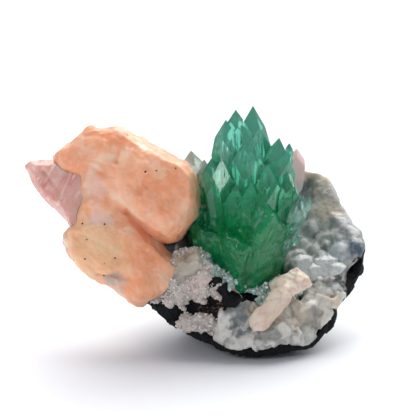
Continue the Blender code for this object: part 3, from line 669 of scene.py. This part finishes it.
def scatter_tree():
    """Sets crystals on the faces near a centre that face upwards enough; sizes are in millimetres."""
    sockets = [
        ("Per Square Millimetre", "Float", 1.0),
        ("Width", "Float", 0.8),
        ("Length", "Float", 1.2),
        ("Spread", "Float", 0.5),
        ("Tilt", "Float", 0.5),
        ("Facing", "Float", -1.0),
        ("Centre", "Vector", (0.0, 0.0, 0.0)),
        ("Reach", "Float", 100.0),
        ("Seed", "Int", 1),
        ("Crystal", "Object", None),
    ]
    tree, given = new_tree("scattered_crystals", sockets)
    place = add(tree, "GeometryNodeInputPosition").outputs[0]
    centre = {0: given["Centre"], "Scale": MM}
    centre = add(tree, "ShaderNodeVectorMath", centre, operation="SCALE").outputs[0]
    away = add(tree, "ShaderNodeVectorMath", {0: place, 1: centre}, operation="DISTANCE").outputs["Value"]
    near = math_node(tree, "LESS_THAN", away, math_node(tree, "MULTIPLY", given["Reach"], MM))
    normal = add(tree, "GeometryNodeInputNormal").outputs[0]
    up = add(tree, "ShaderNodeSeparateXYZ", {0: normal}).outputs["Z"]
    wanted = math_node(tree, "MULTIPLY", near, math_node(tree, "GREATER_THAN", up, given["Facing"]))
    density = math_node(tree, "MULTIPLY", given["Per Square Millimetre"], 1 / (MM * MM))
    spots = {
        "Mesh": given["Geometry"],
        "Selection": wanted,
        "Density": density,
        "Seed": given["Seed"],
    }
    spots = add(tree, "GeometryNodeDistributePointsOnFaces", spots)

    def chance(low, high, offset):
        inputs = {2: low, 3: high, "Seed": math_node(tree, "ADD", given["Seed"], offset)}
        return add(tree, "FunctionNodeRandomValue", inputs, data_type="FLOAT").outputs[1]

    less = math_node(tree, "SUBTRACT", 1.0, given["Spread"])
    more = math_node(tree, "ADD", 1.0, given["Spread"])
    size = chance(less, more, 1.0)
    width = math_node(tree, "MULTIPLY", math_node(tree, "MULTIPLY", given["Width"], size), MM)
    length = math_node(tree, "MULTIPLY", size, chance(0.7, 1.3, 2.0))
    length = math_node(tree, "MULTIPLY", given["Length"], length)
    length = math_node(tree, "MULTIPLY", length, MM)
    scale = add(tree, "ShaderNodeCombineXYZ", {0: width, 1: width, 2: length}).outputs[0]
    lean = math_node(tree, "MULTIPLY", given["Tilt"], -1.0)
    turn = {
        0: chance(lean, given["Tilt"], 3.0),
        1: chance(lean, given["Tilt"], 4.0),
        2: chance(0.0, 6.28, 5.0),
    }
    turn = add(tree, "ShaderNodeCombineXYZ", turn).outputs[0]
    upright = spots.outputs["Rotation"]
    tilted = add(tree, "FunctionNodeRotateRotation", {0: upright, 1: turn}, rotation_space="LOCAL").outputs[0]
    crystal = add(tree, "GeometryNodeObjectInfo", {0: given["Crystal"]}).outputs["Geometry"]
    grown = {"Points": spots.outputs["Points"], "Instance": crystal, "Rotation": tilted, "Scale": scale}
    grown = add(tree, "GeometryNodeInstanceOnPoints", grown).outputs[0]
    stored = {"Geometry": grown, "Name": "tint", "Value": chance(0.0, 1.0, 6.0)}
    stored = add(tree, "GeometryNodeStoreNamedAttribute", stored, data_type="FLOAT", domain="INSTANCE")
    return end_tree(tree, stored.outputs[0], given["Stone"])


SCATTER = scatter_tree()
QUARTZ_POINT = quartz_point()


def scatter(ground, name, stone, crystal=QUARTZ_POINT, **values):
    """A separate piece of crystals scattered over a copy of the ground."""
    piece = bpy.data.objects.new(name, ground.data.copy())
    bpy.context.scene.collection.objects.link(piece)
    return run_tree(piece, SCATTER, stone, crystal=crystal, **values)


print("faces of one quartz point:", len(QUARTZ_POINT.data.polygons))

# %% [markdown]
# ## The druse beds
# Each bed is made like a crust, gets its own points, and keeps them as a second piece in the same stone.
# The bed on the left is pressed back where bare basalt shows below it, and the green one is pulled out
# round the foot of the cluster.

# %% Druse
def quartz_finish(name, clear, cloudy, patches=(), glow=0.7):
    """Bright quartz between two shades; a scattered point takes its shade from its stored tint."""
    material, tree, shader, coords = finish(name, 0.22, 0.5)
    tint = read_attribute(tree, "tint")
    mottle = clouds(tree, coords, 1.2, 4.0)
    shade = math_node(tree, "MULTIPLY", tint, 0.6)
    shade = math_node(tree, "ADD", shade, math_node(tree, "MULTIPLY", mottle, 0.6))
    colour = mix(tree, between(tree, shade, 0.25, 0.85), clear, cloudy)
    colour = tinted_patches(tree, coords, colour, patches)
    tree.links.new(colour, shader.inputs["Base Color"])
    roughen(tree, shader, clouds(tree, coords, 0.4, 3.0), 0.03)
    glow_within(shader, glow, 1.2, (1.0, 1.0, 0.95))
    return material


druse_patches = [
    ((-9, -15.5, 21), 5.0, (0.76, 0.62, 0.55), 0.7),
    ((-4.3, -11.5, 23.5), 5.0, (0.62, 0.80, 0.70), 1.0),
    ((-0.5, -12.5, 20.5), 4.0, (0.66, 0.82, 0.73), 1.0),
    ((-21, -15, 15), 4.0, (0.55, 0.58, 0.58), 0.6),
]
white_quartz = quartz_finish("white_quartz_points", (0.56, 0.50, 0.45), (0.91, 0.86, 0.81), druse_patches)
green_druse = quartz_finish("green_druse_points", (0.36, 0.54, 0.48), (0.76, 0.83, 0.77))

DRUSES = [
    ("left_druse", "left_druse_bed", "left_druse_points", white_quartz, "white_quartz", 0.55, 0.45),
    ("lower_left_druse", "lower_druse_bed", "lower_druse_points", white_quartz, "white_quartz", 0.50, 0.4),
    ("seat_druse", "seat_bed", "seat_points", green_druse, "pale_green_druse", 0.8, 1.0),
]
PRESSED = {
    "left_druse": [((-3.5, -14.5, 20.5), 4.5, (-1.2, 2.6, 0.8)), ((1, -14, 19), 4.0, (-1.0, 2.6, 0.4))],
    "seat_druse": [((1, -11.5, 19.5), 5.0, (0, -2.6, 1.8)), ((7, -11, 15), 4.0, (0, -1.0, 0.8))],
}
for node, bed_name, points_name, stone, slot, width, length in DRUSES:
    bed = skin(copy_of([node], bed_name, grow=0.3), voxel=0.34, smoothing=3)
    press(bed, PRESSED.get(node, []))
    run_tree(
        bed, RELIEF, stone,
        lump_size=3.5, lump_height=0.8, pebble_size=2.2, pebble_height=0.8, grain_size=0.6,
        grain_height=0.2, plate_size=2.0, plate_height=1.0,
    )
    points = scatter(
        bed, points_name, stone, per_square_millimetre=1.1, width=width, length=length, facing=-0.4,
        tilt=0.5, seed=len(node),
    )
    settle(bed, [node])
    settle(points)

# %% [markdown]
# ## Quartz plates on the right rim
# Between the rear wall and the front shell stand thin, clear, jagged plates. They keep their CAD shapes,
# and a fine skin with a little relief breaks their edges.

# %% Rim plates
PLATES = ["rim_plate_back", "rim_plate_middle", "rim_plate_right", "rim_plate_front"]
clear_plates = quartz_finish("clear_plates_quartz", (0.60, 0.62, 0.61), (0.88, 0.86, 0.82))
for node in PLATES:
    plate = skin(copy_of([node], node + "_broken", grow=0.5), voxel=0.22, smoothing=1)
    run_tree(
        plate, RELIEF, clear_plates,
        lump_size=2.2, lump_height=0.5, pebble_size=1.5, pebble_height=-0.3, grain_size=0.6,
        grain_height=0.12, seed=float(len(node)),
    )
    settle(plate, [node])

# %% [markdown]
# ## The apophyllite cluster
# Apophyllite grows as square prisms with pointed tips, packed side by side until they fuse. Each CAD
# crystal was cut back where it meets its neighbours, so its convex hull gives back the whole crystal. An
# exact Boolean union makes one body of them, with crisp faces above. Below they have melted together, so
# the lower halves are cut off at uneven planes and a voxel skin makes one trunk of them. A bevel wears the
# edges last, because bodies that are bevelled before a union seldom close.

# %% Crystal hulls
SUBPARTS = frame["record"]["subparts"]
GREEN = [part["node"] for part in SUBPARTS if part["material_slot"] == "green_apophyllite"]
BODY = [node for node in GREEN if not node.startswith("flank")]
FLANK = [node for node in GREEN if node not in BODY]
print("crystals in the body:", len(BODY), "on the flank:", len(FLANK))


def hull_of(node, grow, squeeze=1.0):
    """The convex hull of a CAD crystal, swollen by grow millimetres or narrowed by squeeze."""
    low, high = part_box(node)
    middle = (low + high) / 2
    bm = bmesh.new()
    for vertex in frame["nodes"][node].data.vertices:
        place = vertex.co - middle
        bm.verts.new(middle + Vector((place.x * squeeze, place.y * squeeze, place.z)))
    bmesh.ops.remove_doubles(bm, verts=bm.verts, dist=0.02 * MM)
    bmesh.ops.convex_hull(bm, input=bm.verts)
    bmesh.ops.delete(bm, geom=[v for v in bm.verts if not v.link_faces], context="VERTS")
    bmesh.ops.dissolve_limit(bm, angle_limit=math.radians(2), verts=bm.verts, edges=bm.edges)
    bm.normal_update()
    moves = [v.normal * min(v.calc_shell_factor(), 1.8) * grow * MM for v in bm.verts]
    for vertex, move in zip(bm.verts, moves):
        vertex.co += move
    return bm


def fused(bodies, name):
    """The exact union of closed bodies, bmeshes or objects."""
    pieces = [piece_from(body, name) if isinstance(body, bmesh.types.BMesh) else body for body in bodies]
    others = bpy.data.collections.new(name)
    for piece in pieces[1:]:
        others.objects.link(piece)
    union = pieces[0].modifiers.new("fuse", "BOOLEAN")
    union.operation = "UNION"
    union.operand_type = "COLLECTION"
    union.collection = others
    union.solver = "EXACT"
    bake(pieces[0])
    for piece in pieces[1:]:
        bpy.data.objects.remove(piece)
    bpy.data.collections.remove(others)
    pieces[0].name = name
    return pieces[0]


def cut_above(bm, place, up):
    """Cuts off what lies above a plane and closes the cut."""
    everything = bm.verts[:] + bm.edges[:] + bm.faces[:]
    bmesh.ops.bisect_plane(bm, geom=everything, plane_co=place, plane_no=up, clear_outer=True)
    bmesh.ops.holes_fill(bm, edges=[e for e in bm.edges if e.is_boundary])
    return bm


def trunk_of(nodes, tops, grow, rng):
    """The lower parts of many crystals, grown together and melted into one body with a ragged top."""
    lower = []
    for node in nodes:
        low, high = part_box(node)
        middle = (low + high) / 2
        place = Vector((middle.x, middle.y, rng.uniform(*tops) * MM))
        lean = Vector((rng.uniform(-0.4, 0.4), rng.uniform(-0.4, 0.4), 1))
        lower.append(cut_above(hull_of(node, grow), place, lean))
    return skin(fused(lower, "trunk"), voxel=0.5, smoothing=9)


def without_crumbs(bm, fewest):
    """Deletes loose pieces with fewer faces than this, which cuts and unions can leave behind."""
    waiting = set(bm.faces)
    crumbs = []
    for start in bm.faces:
        if start not in waiting:
            continue
        waiting.remove(start)
        piece = [start]
        front = [start]
        while front:
            for edge in front.pop().edges:
                for near in edge.link_faces:
                    if near in waiting:
                        waiting.remove(near)
                        piece.append(near)
                        front.append(near)
        if len(piece) < fewest:
            crumbs += piece
    bmesh.ops.delete(bm, geom=crumbs, context="FACES")
    return bm


def worn(bm, width):
    """Takes the sharpness off every long outer edge, and clears away the flat flaps that this can leave."""
    outer = [e for e in bm.edges if e.calc_face_angle_signed(0) > math.radians(15)]
    edges = [e for e in outer if e.calc_length() > 0.8 * MM]
    bmesh.ops.bevel(bm, geom=edges, offset=width * MM, segments=1, affect="EDGES", clamp_overlap=True)
    bmesh.ops.triangulate(bm, faces=bm.faces)
    bmesh.ops.remove_doubles(bm, verts=bm.verts, dist=0.002 * MM)
    same = {}
    for face in bm.faces:
        same.setdefault(frozenset(face.verts), []).append(face)
    flaps = [face for faces in same.values() if len(faces) == 2 for face in faces]
    bmesh.ops.delete(bm, geom=flaps, context="FACES")
    fins = [face for face in bm.faces if sum(edge.is_boundary for edge in face.edges) > 1]
    bmesh.ops.delete(bm, geom=fins, context="FACES")
    return without_crumbs(bm, fewest=20)


# %% [markdown]
# ## The green glass and its milky heart
# Real apophyllite is clear at the tips and cloudy below. A transmissive shader alone looks like an empty
# bottle, so two things fill it: absorption inside the closed mesh, which deepens the green where the
# crystal is thick, and a separate opaque heart, mottled and glowing, that stands inside the glass.

# %% Crystal finishes
DRIFT = 12.0  # how far the border between deep and pale wanders up and down


def apophyllite_finish(name, deep, pale, low, high, inside, density, clear):
    """Glassy crystal, deep below the height low and pale above high, in millimetres, with pale streaks above
    painted as highlights.
    """
    material, tree, shader, coords = finish(name, 0.03, 0.22)
    shader.inputs["Transmission Weight"].default_value = clear
    shader.inputs["IOR"].default_value = 1.54
    height = add(tree, "ShaderNodeSeparateXYZ", {0: coords}).outputs["Z"]
    drift = math_node(tree, "MULTIPLY", clouds(tree, coords, 6.0, 3.0), DRIFT)
    share = between(tree, math_node(tree, "ADD", height, drift), low + DRIFT / 2, high + DRIFT / 2)
    colour = mix(tree, share, deep, pale)
    lines = clouds(tree, drawn_along(tree, coords, (0.0, 0.0, 0.94)), 1.1, 3.0)
    # Painted highlight: pale vertical streaks in the upper crystals stand in for the white highlight streaks
    # of the tips.
    highlight_streaks = math_node(tree, "MULTIPLY", between(tree, lines, 0.54, 0.66), share)
    colour = mix(tree, math_node(tree, "MULTIPLY", highlight_streaks, 0.45), colour, (0.62, 0.93, 0.85))
    specks = math_node(tree, "MULTIPLY", between(tree, clouds(tree, coords, 0.7, 4.0), 0.52, 0.68), 0.42)
    colour = mix(tree, specks, colour, (0.16, 0.76, 0.50))
    tree.links.new(colour, shader.inputs["Base Color"])
    roughen(tree, shader, lines, 0.03)
    absorption = add(tree, "ShaderNodeVolumeAbsorption", {"Color": (*inside, 1), "Density": density})
    tree.links.new(absorption.outputs[0], tree.nodes["Material Output"].inputs["Volume"])
    return material


def core_finish():
    """The milky heart of the crystals: saturated green, mottled with small pale inclusions."""
    material, tree, shader, coords = finish("apophyllite_heart", 0.5, 0.3)
    height = add(tree, "ShaderNodeSeparateXYZ", {0: coords}).outputs["Z"]
    drift = math_node(tree, "MULTIPLY", clouds(tree, coords, 5.0, 4.0), 14.0)
    share = between(tree, math_node(tree, "ADD", height, drift), 26, 54)
    colour = mix(tree, share, (0.015, 0.56, 0.21), (0.14, 0.78, 0.50))
    spots = between(tree, clouds(tree, coords, 0.8, 3.0), 0.60, 0.72)
    colour = mix(tree, math_node(tree, "MULTIPLY", spots, 0.6), colour, (0.20, 0.62, 0.34))
    tree.links.new(colour, shader.inputs["Base Color"])
    glow_within(shader, 0.6, 3.0, (0.3, 1.0, 0.5))
    return material


green_glass = apophyllite_finish(
    "green_apophyllite_glass", deep=(0.003, 0.44, 0.15), pale=(0.26, 0.80, 0.64), low=33, high=58,
    inside=(0.10, 0.76, 0.58), density=40.0, clear=0.74,
)
flank_glass = apophyllite_finish(
    "flank_apophyllite_glass", deep=(0.30, 0.72, 0.58), pale=(0.66, 0.92, 0.86), low=20, high=40,
    inside=(0.3, 0.85, 0.72), density=40.0, clear=0.85,
)
print("finishes:", green_glass.name, flank_glass.name)

# %% [markdown]
# ## Growth steps and splinters
# Two kinds of small crystal are added to the CAD ones. Growth steps are smaller parallel copies on a
# crystal's outer side, which end a little lower. Splinters are thin prisms that spray out on the right
# flank, and white slivers of them inside the tall spires are painted highlight streaks.

# %% Small crystals
CLUSTER_AXIS = (4.5, 0.5)


def twins_of(node, count, rng):
    """Smaller parallel copies of a crystal on its outer side, each ending a little lower: growth steps."""
    low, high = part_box(node)
    tip = max(frame["nodes"][node].data.vertices, key=lambda v: v.co.z).co
    outward = math.atan2(tip.y - CLUSTER_AXIS[1] * MM, tip.x - CLUSTER_AXIS[0] * MM)
    half = min(high.x - low.x, high.y - low.y) / 2
    made = []
    for _ in range(count):
        share = rng.uniform(0.24, 0.42)
        angle = outward + rng.uniform(-1.4, 1.4)
        side = half * rng.uniform(0.62, 0.92)
        drop = rng.uniform(1.5, min(6.5, tip.z / MM - 40)) * MM
        shift = Vector((math.cos(angle) * side, math.sin(angle) * side, -drop))
        twin = hull_of(node, 0.1)
        for vertex in twin.verts:
            vertex.co = tip + (vertex.co - tip) * share + shift
        made.append(twin)
    return made


def splinter(foot, tip, width, twist):
    """A thin square crystal with a pointed tip, from foot to tip in metres."""
    bm = bmesh.new()
    axis = tip - foot
    turn = axis.to_track_quat("Z", "X").to_matrix() @ Matrix.Rotation(twist, 3, "Z")
    half = width * MM / 2
    corners = [Vector((x * half, y * half, 0)) for x, y in ((-1, -1), (1, -1), (1, 1), (-1, 1))]
    for corner in corners:
        bm.verts.new(foot + turn @ corner * 0.8)
        bm.verts.new(tip - axis.normalized() * half * 2.2 + turn @ corner)
    bm.verts.new(tip)
    bmesh.ops.convex_hull(bm, input=bm.verts)
    bmesh.ops.dissolve_limit(bm, angle_limit=math.radians(2), verts=bm.verts, edges=bm.edges)
    bm.normal_update()
    return bm


def splinters_by(node, count, rng):
    """A spray of thin crystals round one of the small crystals on the right flank."""
    low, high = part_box(node)
    foot = Vector((low.x, (low.y + high.y) / 2, low.z + 1.5 * MM))
    reach = Vector((high.x, (low.y + high.y) / 2, high.z)) - foot
    made = []
    for _ in range(count):
        base = foot + Vector(rng.uniform(-1.2, 1.2) * MM for _ in range(3))
        sway = Vector(rng.uniform(-2.2, 2.2) * MM for _ in range(3))
        tip = foot + reach * rng.uniform(0.65, 1.0) + sway
        made.append(splinter(base, tip, rng.uniform(1.2, 2.4), rng.uniform(0, 1.5)))
    return made


# %% [markdown]
# ## The fused cluster
# The tall spires are narrowed a little and the low crystals go into the trunk only, since they would look
# like leaves. The trunk gets ribs and small steps from the relief tree before everything is united.

# %% Cluster
TALL = ("spire_top", "spire_middle", "spire_left")
LOW_TIP = 43  # crystals with a lower tip, in millimetres, are part of the trunk only
STEPPED_TIP = 44  # crystals with a higher one get growth steps
chance = random.Random(11)
LOW = [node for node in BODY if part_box(node)[1].z < LOW_TIP * MM]
print("crystals that are part of the trunk only:", LOW)
crystals = [hull_of(node, 0.22, 0.84 if node in TALL else 1.0) for node in BODY if node not in LOW]
steps = []
for node in BODY:
    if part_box(node)[1].z > STEPPED_TIP * MM and node not in TALL and "left" not in node:
        steps += twins_of(node, count=2, rng=chance)
trunk = run_tree(
    trunk_of(BODY, tops=(32.0, 42.0), grow=0.7, rng=chance), RELIEF, green_glass,
    lump_size=3.0, lump_height=0.5, grain_size=1.0, grain_height=0.35, grain_along=(0.1, 0.0, 0.90),
    plate_size=2.0, plate_height=0.45,
)
trunk = skin(trunk, voxel=0.4, smoothing=0)
cluster = fused(crystals + steps + [trunk], "apophyllite_cluster")
rounded = bmesh.new()
rounded.from_mesh(cluster.data)
worn(rounded, width=0.15)
print("open edges:", sum(not e.is_manifold for e in rounded.edges))
rounded.to_mesh(cluster.data)
rounded.free()
cluster.data.materials.clear()
cluster.data.materials.append(green_glass)
settle(cluster, BODY)

# %% [markdown]
# ## The flank spray, the heart and the highlight slivers
# The flank crystals are clearer and get a spray of splinters each. The heart is the trunk again, cut by
# other planes and shrunk, so that it stays inside the glass.

# %% Spray, heart and highlight slivers
spray = [hull_of(node, 0.1) for node in FLANK]
for node in FLANK:
    spray += splinters_by(node, count=4, rng=chance)
flank = fused(spray, "flank_spray")
flank.data.materials.clear()
flank.data.materials.append(flank_glass)
settle(flank, FLANK)

standing = [node for node in BODY if node not in LOW]
core = trunk_of(standing, tops=(32.0, 44.0), grow=-0.8, rng=chance)
core.name = "apophyllite_core"
run_tree(
    core, RELIEF, core_finish(),
    lump_size=3.5, lump_height=0.9, pebble_size=2.4, pebble_height=0.6, grain_size=0.9,
    grain_height=0.3,
)
settle(core)

# White slivers inside the tall spires, put there as painted highlight streaks.
SLIVERS = 6  # in each tall spire
highlight_streaks = []
for node in TALL:
    low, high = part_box(node)
    middle = (low + high) / 2
    half = (high - low) / 2
    for _ in range(SLIVERS):
        foot = middle + Vector((chance.uniform(-0.45, 0.45) * half.x, chance.uniform(-0.5, 0.3) * half.y, 0))
        foot.z = chance.uniform(45, high.z / MM - 10) * MM
        tip = foot + Vector((chance.uniform(-0.6, 0.6), chance.uniform(-0.3, 0.3), chance.uniform(4, 8))) * MM
        highlight_streaks.append(splinter(foot, tip, chance.uniform(0.35, 0.8), chance.uniform(0, 1.5)))
highlight_slivers = fused(highlight_streaks, "white_veils")
highlight_slivers.data.materials.clear()
highlight_slivers.data.materials.append(clear_plates)
settle(highlight_slivers)

# %% [markdown]
# ## The two pale crystals
# Two nearly clear crystals stand left of the cluster. Each is one hull with a wide worn edge, in a weaker
# tint of the cluster's glass, and stays apart from the fused body because its stone is another.

# %% Pale crystals
pale_glass = apophyllite_finish(
    "pale_apophyllite_glass", deep=(0.70, 0.76, 0.66), pale=(0.88, 0.92, 0.88), low=26, high=50,
    inside=(0.7, 0.8, 0.7), density=60.0, clear=0.6,
)
for node in ("pale_crystal_left", "pale_crystal_right"):
    crystal = piece_from(worn(hull_of(node, grow=0.8), width=0.2), node + "_point")
    crystal.data.materials.append(pale_glass)
    settle(crystal, [node])

# %% [markdown]
# ## Stilbite
# Stilbite grows in sheaves, bundles of thin crystals that fan out at both ends. It is satin and
# translucent: light goes in and spreads, so the finish leans on subsurface scattering. Fine pale veins
# run along the ribs.

# %% Stilbite finish
def stilbite_finish(name, shade, body, light, patches, along, glow=0.75, gloss=0.34, veins=0.30):
    """Satin stone in three shades; veins run along an axis, and gloss is how rough the surface is."""
    material, tree, shader, coords = finish(name, gloss, 0.5)
    soft = clouds(tree, coords, 7.0, 4.0, 0.4)
    fine = clouds(tree, drawn_along(tree, coords, along), 1.6, 6.0, 0.5)
    colour = mix(tree, between(tree, soft, 0.30, 0.55), shade, body)
    colour = mix(tree, between(tree, soft, 0.52, 0.72), colour, light)
    colour = tinted_patches(tree, coords, colour, patches)
    frost = math_node(tree, "MULTIPLY", between(tree, fine, 0.48, 0.72), veins)
    colour = mix(tree, frost, colour, (0.93, 0.75, 0.63))
    tree.links.new(colour, shader.inputs["Base Color"])
    grains = math_node(tree, "ADD", clouds(tree, coords, 0.5, 4.0), fine)
    roughen(tree, shader, math_node(tree, "MULTIPLY", grains, 0.5), 0.10)
    glow_within(shader, glow, 2.6, (1.0, 0.42, 0.25))
    return material


SHEAF_RIBS = (0.74, -0.07, -0.60)
SHEAF_VEINS = (0.45, -0.04, -0.36)
BLADE_RIBS = (0.40, 0.0, 0.84)
CREAM_RIBS = (0.62, 0.2, 0.66)
CREAM_VEINS = (0.75, 0.2, 0.5)

# %% [markdown]
# ## The two peach sheaves
# The two sheaves have grown together, so they are one piece here: a web of small balls bridges the gap,
# a voxel skin makes one surface of it all, and the join is melted smooth. Grooves are the seams between
# bundles, and presses shape the lobes.

# %% Peach sheaves
WEB = [
    ((-34.5, -6.9, 47.6), (5.8, 2.5, 3.8)),
    ((-33.0, -7.5, 44.0), (4.8, 3.0, 4.2)),
    ((-30.5, -8.0, 48.5), (4.4, 3.0, 3.8)),
    ((-37.5, -6.3, 44.5), (4.8, 2.4, 4.0)),
    ((-35.5, -8.8, 40.5), (4.8, 2.7, 3.4)),
    ((-30.0, -9.0, 43.5), (3.4, 2.4, 3.6)),
]
sheaf_tints_and_painted_light = [
    ((-35, -13, 30), 14.0, (0.98, 0.60, 0.34), 0.7),
    ((-36, -7, 46), 6.0, (0.86, 0.53, 0.42), 0.8),
    ((-26, -8, 47), 5.0, (0.88, 0.42, 0.24), 0.7),
    ((-19, -9, 50), 4.0, (0.86, 0.58, 0.36), 0.8),
    # Painted highlight: a pale patch on the top ridge of the upper sheaf, where the highlight falls.
    ((-24, -6, 56), 3.0, (0.95, 0.72, 0.60), 0.8),
    ((-16, -8, 41), 4.0, (0.82, 0.38, 0.18), 0.7),
    ((-35.4, -11.7, 38), 4.5, (0.84, 0.64, 0.57), 0.7),
    ((-44.5, -9.3, 31), 3.0, (0.80, 0.77, 0.72), 0.9),
    # Painted shade: a grey patch in the crease under the lower sheaf's lobe.
    ((-31.4, -15.8, 21.5), 3.4, (0.60, 0.52, 0.47), 0.8),
]
sheaves = copy_of(["upper_stilbite", "lower_stilbite"], "stilbite_sheaves", grow=0.25)
joined = bmesh.new()
joined.from_mesh(sheaves.data)
for centre, radii in WEB:
    placed = Matrix.LocRotScale(Vector(centre) * MM, None, Vector(radii) * MM)
    bmesh.ops.create_icosphere(joined, subdivisions=3, radius=1.0, matrix=placed)
joined.to_mesh(sheaves.data)
joined.free()
skin(sheaves, voxel=0.40, smoothing=3)
melt(sheaves, (-34.0, -8.0, 45.5), reach=9.0, steps=40)
groove(sheaves, (-28.0, -1.5, 59.5), (-31.0, -9.0, 53.0), 1.0, 1.0)
groove(sheaves, (-27.0, -3.0, 58.6), (-14.0, -8.0, 50.6), 0.45, 0.5)
groove(sheaves, (-25.0, -2.5, 59.2), (-15.0, -6.5, 52.6), 0.45, 0.5)
groove(sheaves, (-35.5, -16.5, 23.5), (-27.5, -17.5, 23.0), 1.0, 1.3)
groove(sheaves, (-39.0, -7.5, 50.0), (-30.5, -10.0, 49.2), 0.8, 0.8)
press(sheaves, [
    ((-35, -6, 57), 6.0, (0.0, -0.9, 0.9)),
    ((-38, -7, 50.5), 4.5, (0.0, 0.3, 1.4)),
    ((-22, -9, 52), 6.0, (0.3, -1.3, 0.3)),
    ((-17, -9, 47), 5.0, (0.6, -1.0, 0.0)),
    ((-44, -2, 57), 3.0, (-0.3, 0.0, -1.3)),
    ((-39, 0, 61), 2.6, (0.0, 0.0, 1.2)),
    ((-34, 1, 62), 2.4, (0.0, 0.0, -0.9)),
    ((-40, -14, 28), 5.0, (-0.3, -1.1, -0.3)),
    ((-33, -17, 27), 4.5, (0.0, -1.2, -0.8)),
    ((-44, -9, 32), 3.0, (-0.9, -0.4, 0.0)),
    ((-24, -17, 20), 5.0, (0.4, -1.0, -0.3)),
])
peach = stilbite_finish(
    "peach_stilbite_satin", (0.87, 0.35, 0.17), (0.94, 0.47, 0.28), (0.98, 0.65, 0.47), sheaf_tints_and_painted_light,
    SHEAF_VEINS,
)
run_tree(
    sheaves, RELIEF, peach,
    lump_size=5.0, lump_height=1.1, pebble_size=3.6, pebble_height=0.5, grain_size=1.0, grain_height=0.16,
    grain_along=SHEAF_RIBS,
)
settle(sheaves, ["upper_stilbite", "lower_stilbite"])

# %% [markdown]
# ## The pink and the cream stilbite
# The pink wing is a thin glossy blade with strong ribs. The two pink crystals behind are worn hulls. The
# cream blade and plate lie on the front shell as one broken piece, so they share one skin.

# %% Pink and cream pieces
pink = stilbite_finish(
    "pink_stilbite_gloss", (0.70, 0.34, 0.29), (0.78, 0.45, 0.39), (0.88, 0.66, 0.61), [], BLADE_RIBS,
    glow=0.8, gloss=0.16, veins=0.75,
)
blade = skin(copy_of(["pink_blade"], "pink_wing", grow=0.1), voxel=0.30, smoothing=1)
groove(blade, (-51.0, -6.0, 50.0), (-40.0, -8.0, 35.0), width=0.6, depth=0.6)
run_tree(
    blade, RELIEF, pink,
    lump_size=5.0, lump_height=0.5, pebble_size=3.0, pebble_height=0.0, grain_size=0.9, grain_height=0.35,
    grain_along=BLADE_RIBS,
)
settle(blade, ["pink_blade"])

pale_pink = stilbite_finish(
    "pale_pink_stilbite", (0.78, 0.60, 0.58), (0.84, 0.70, 0.68), (0.92, 0.84, 0.82), [], BLADE_RIBS,
    glow=0.8, gloss=0.2,
)
for node in ("pink_crystal_rear", "pink_crystal_left"):
    crystal = piece_from(worn(hull_of(node, grow=0.5), width=0.3), node + "_point")
    crystal.data.materials.append(pale_pink)
    settle(crystal, [node])

cream = stilbite_finish(
    "cream_stilbite_satin", (0.68, 0.53, 0.41), (0.82, 0.69, 0.57), (0.90, 0.83, 0.74), [], CREAM_VEINS,
    glow=0.5,
)
cream_blades = copy_of(["cream_blade", "cream_plate"], "cream_blades", grow=0.45)
skin(cream_blades, voxel=0.26, smoothing=3)
run_tree(
    cream_blades, RELIEF, cream,
    lump_size=3.0, lump_height=0.9, pebble_size=2.4, pebble_height=0.2, grain_size=0.8, grain_height=0.3,
    grain_along=CREAM_RIBS, plate_size=2.6, plate_height=0.5,
)
settle(cream_blades, ["cream_blade", "cream_plate"])

# %% [markdown]
# ## Specks
# A few grains of dark rock stick to the sheaves. They are the same scatter as the druse, with a tiny
# lump in place of the crystal.

# %% Specks
def grain_of_rock():
    """One uneven lump of width 1."""
    bm = bmesh.new()
    bmesh.ops.create_icosphere(bm, subdivisions=1, radius=0.5)
    for vertex in bm.verts:
        vertex.co *= 1 + 0.35 * noise.noise(vertex.co * 3.1)
    return piece_from(bm, "grain_of_rock")


GRAIN = grain_of_rock()
dark = basalt.data.materials[0]
SPECKS = [
    ("upper_specks", (-20, -9, 53), 6.0, 0.03),
    ("lower_specks", (-39, -14, 29), 10.0, 0.04),
]
for name, centre, reach, density in SPECKS:
    specks = scatter(
        sheaves, name, dark, crystal=GRAIN, per_square_millimetre=density, width=0.45, length=0.3,
        centre=centre, reach=reach, seed=len(name),
    )
    settle(specks)
bpy.data.objects.remove(GRAIN)

# %% [markdown]
# ## Finish
# The crystal that was scattered is no part of the object, so it is removed.

# %% Finish
bpy.data.objects.remove(QUARTZ_POINT)
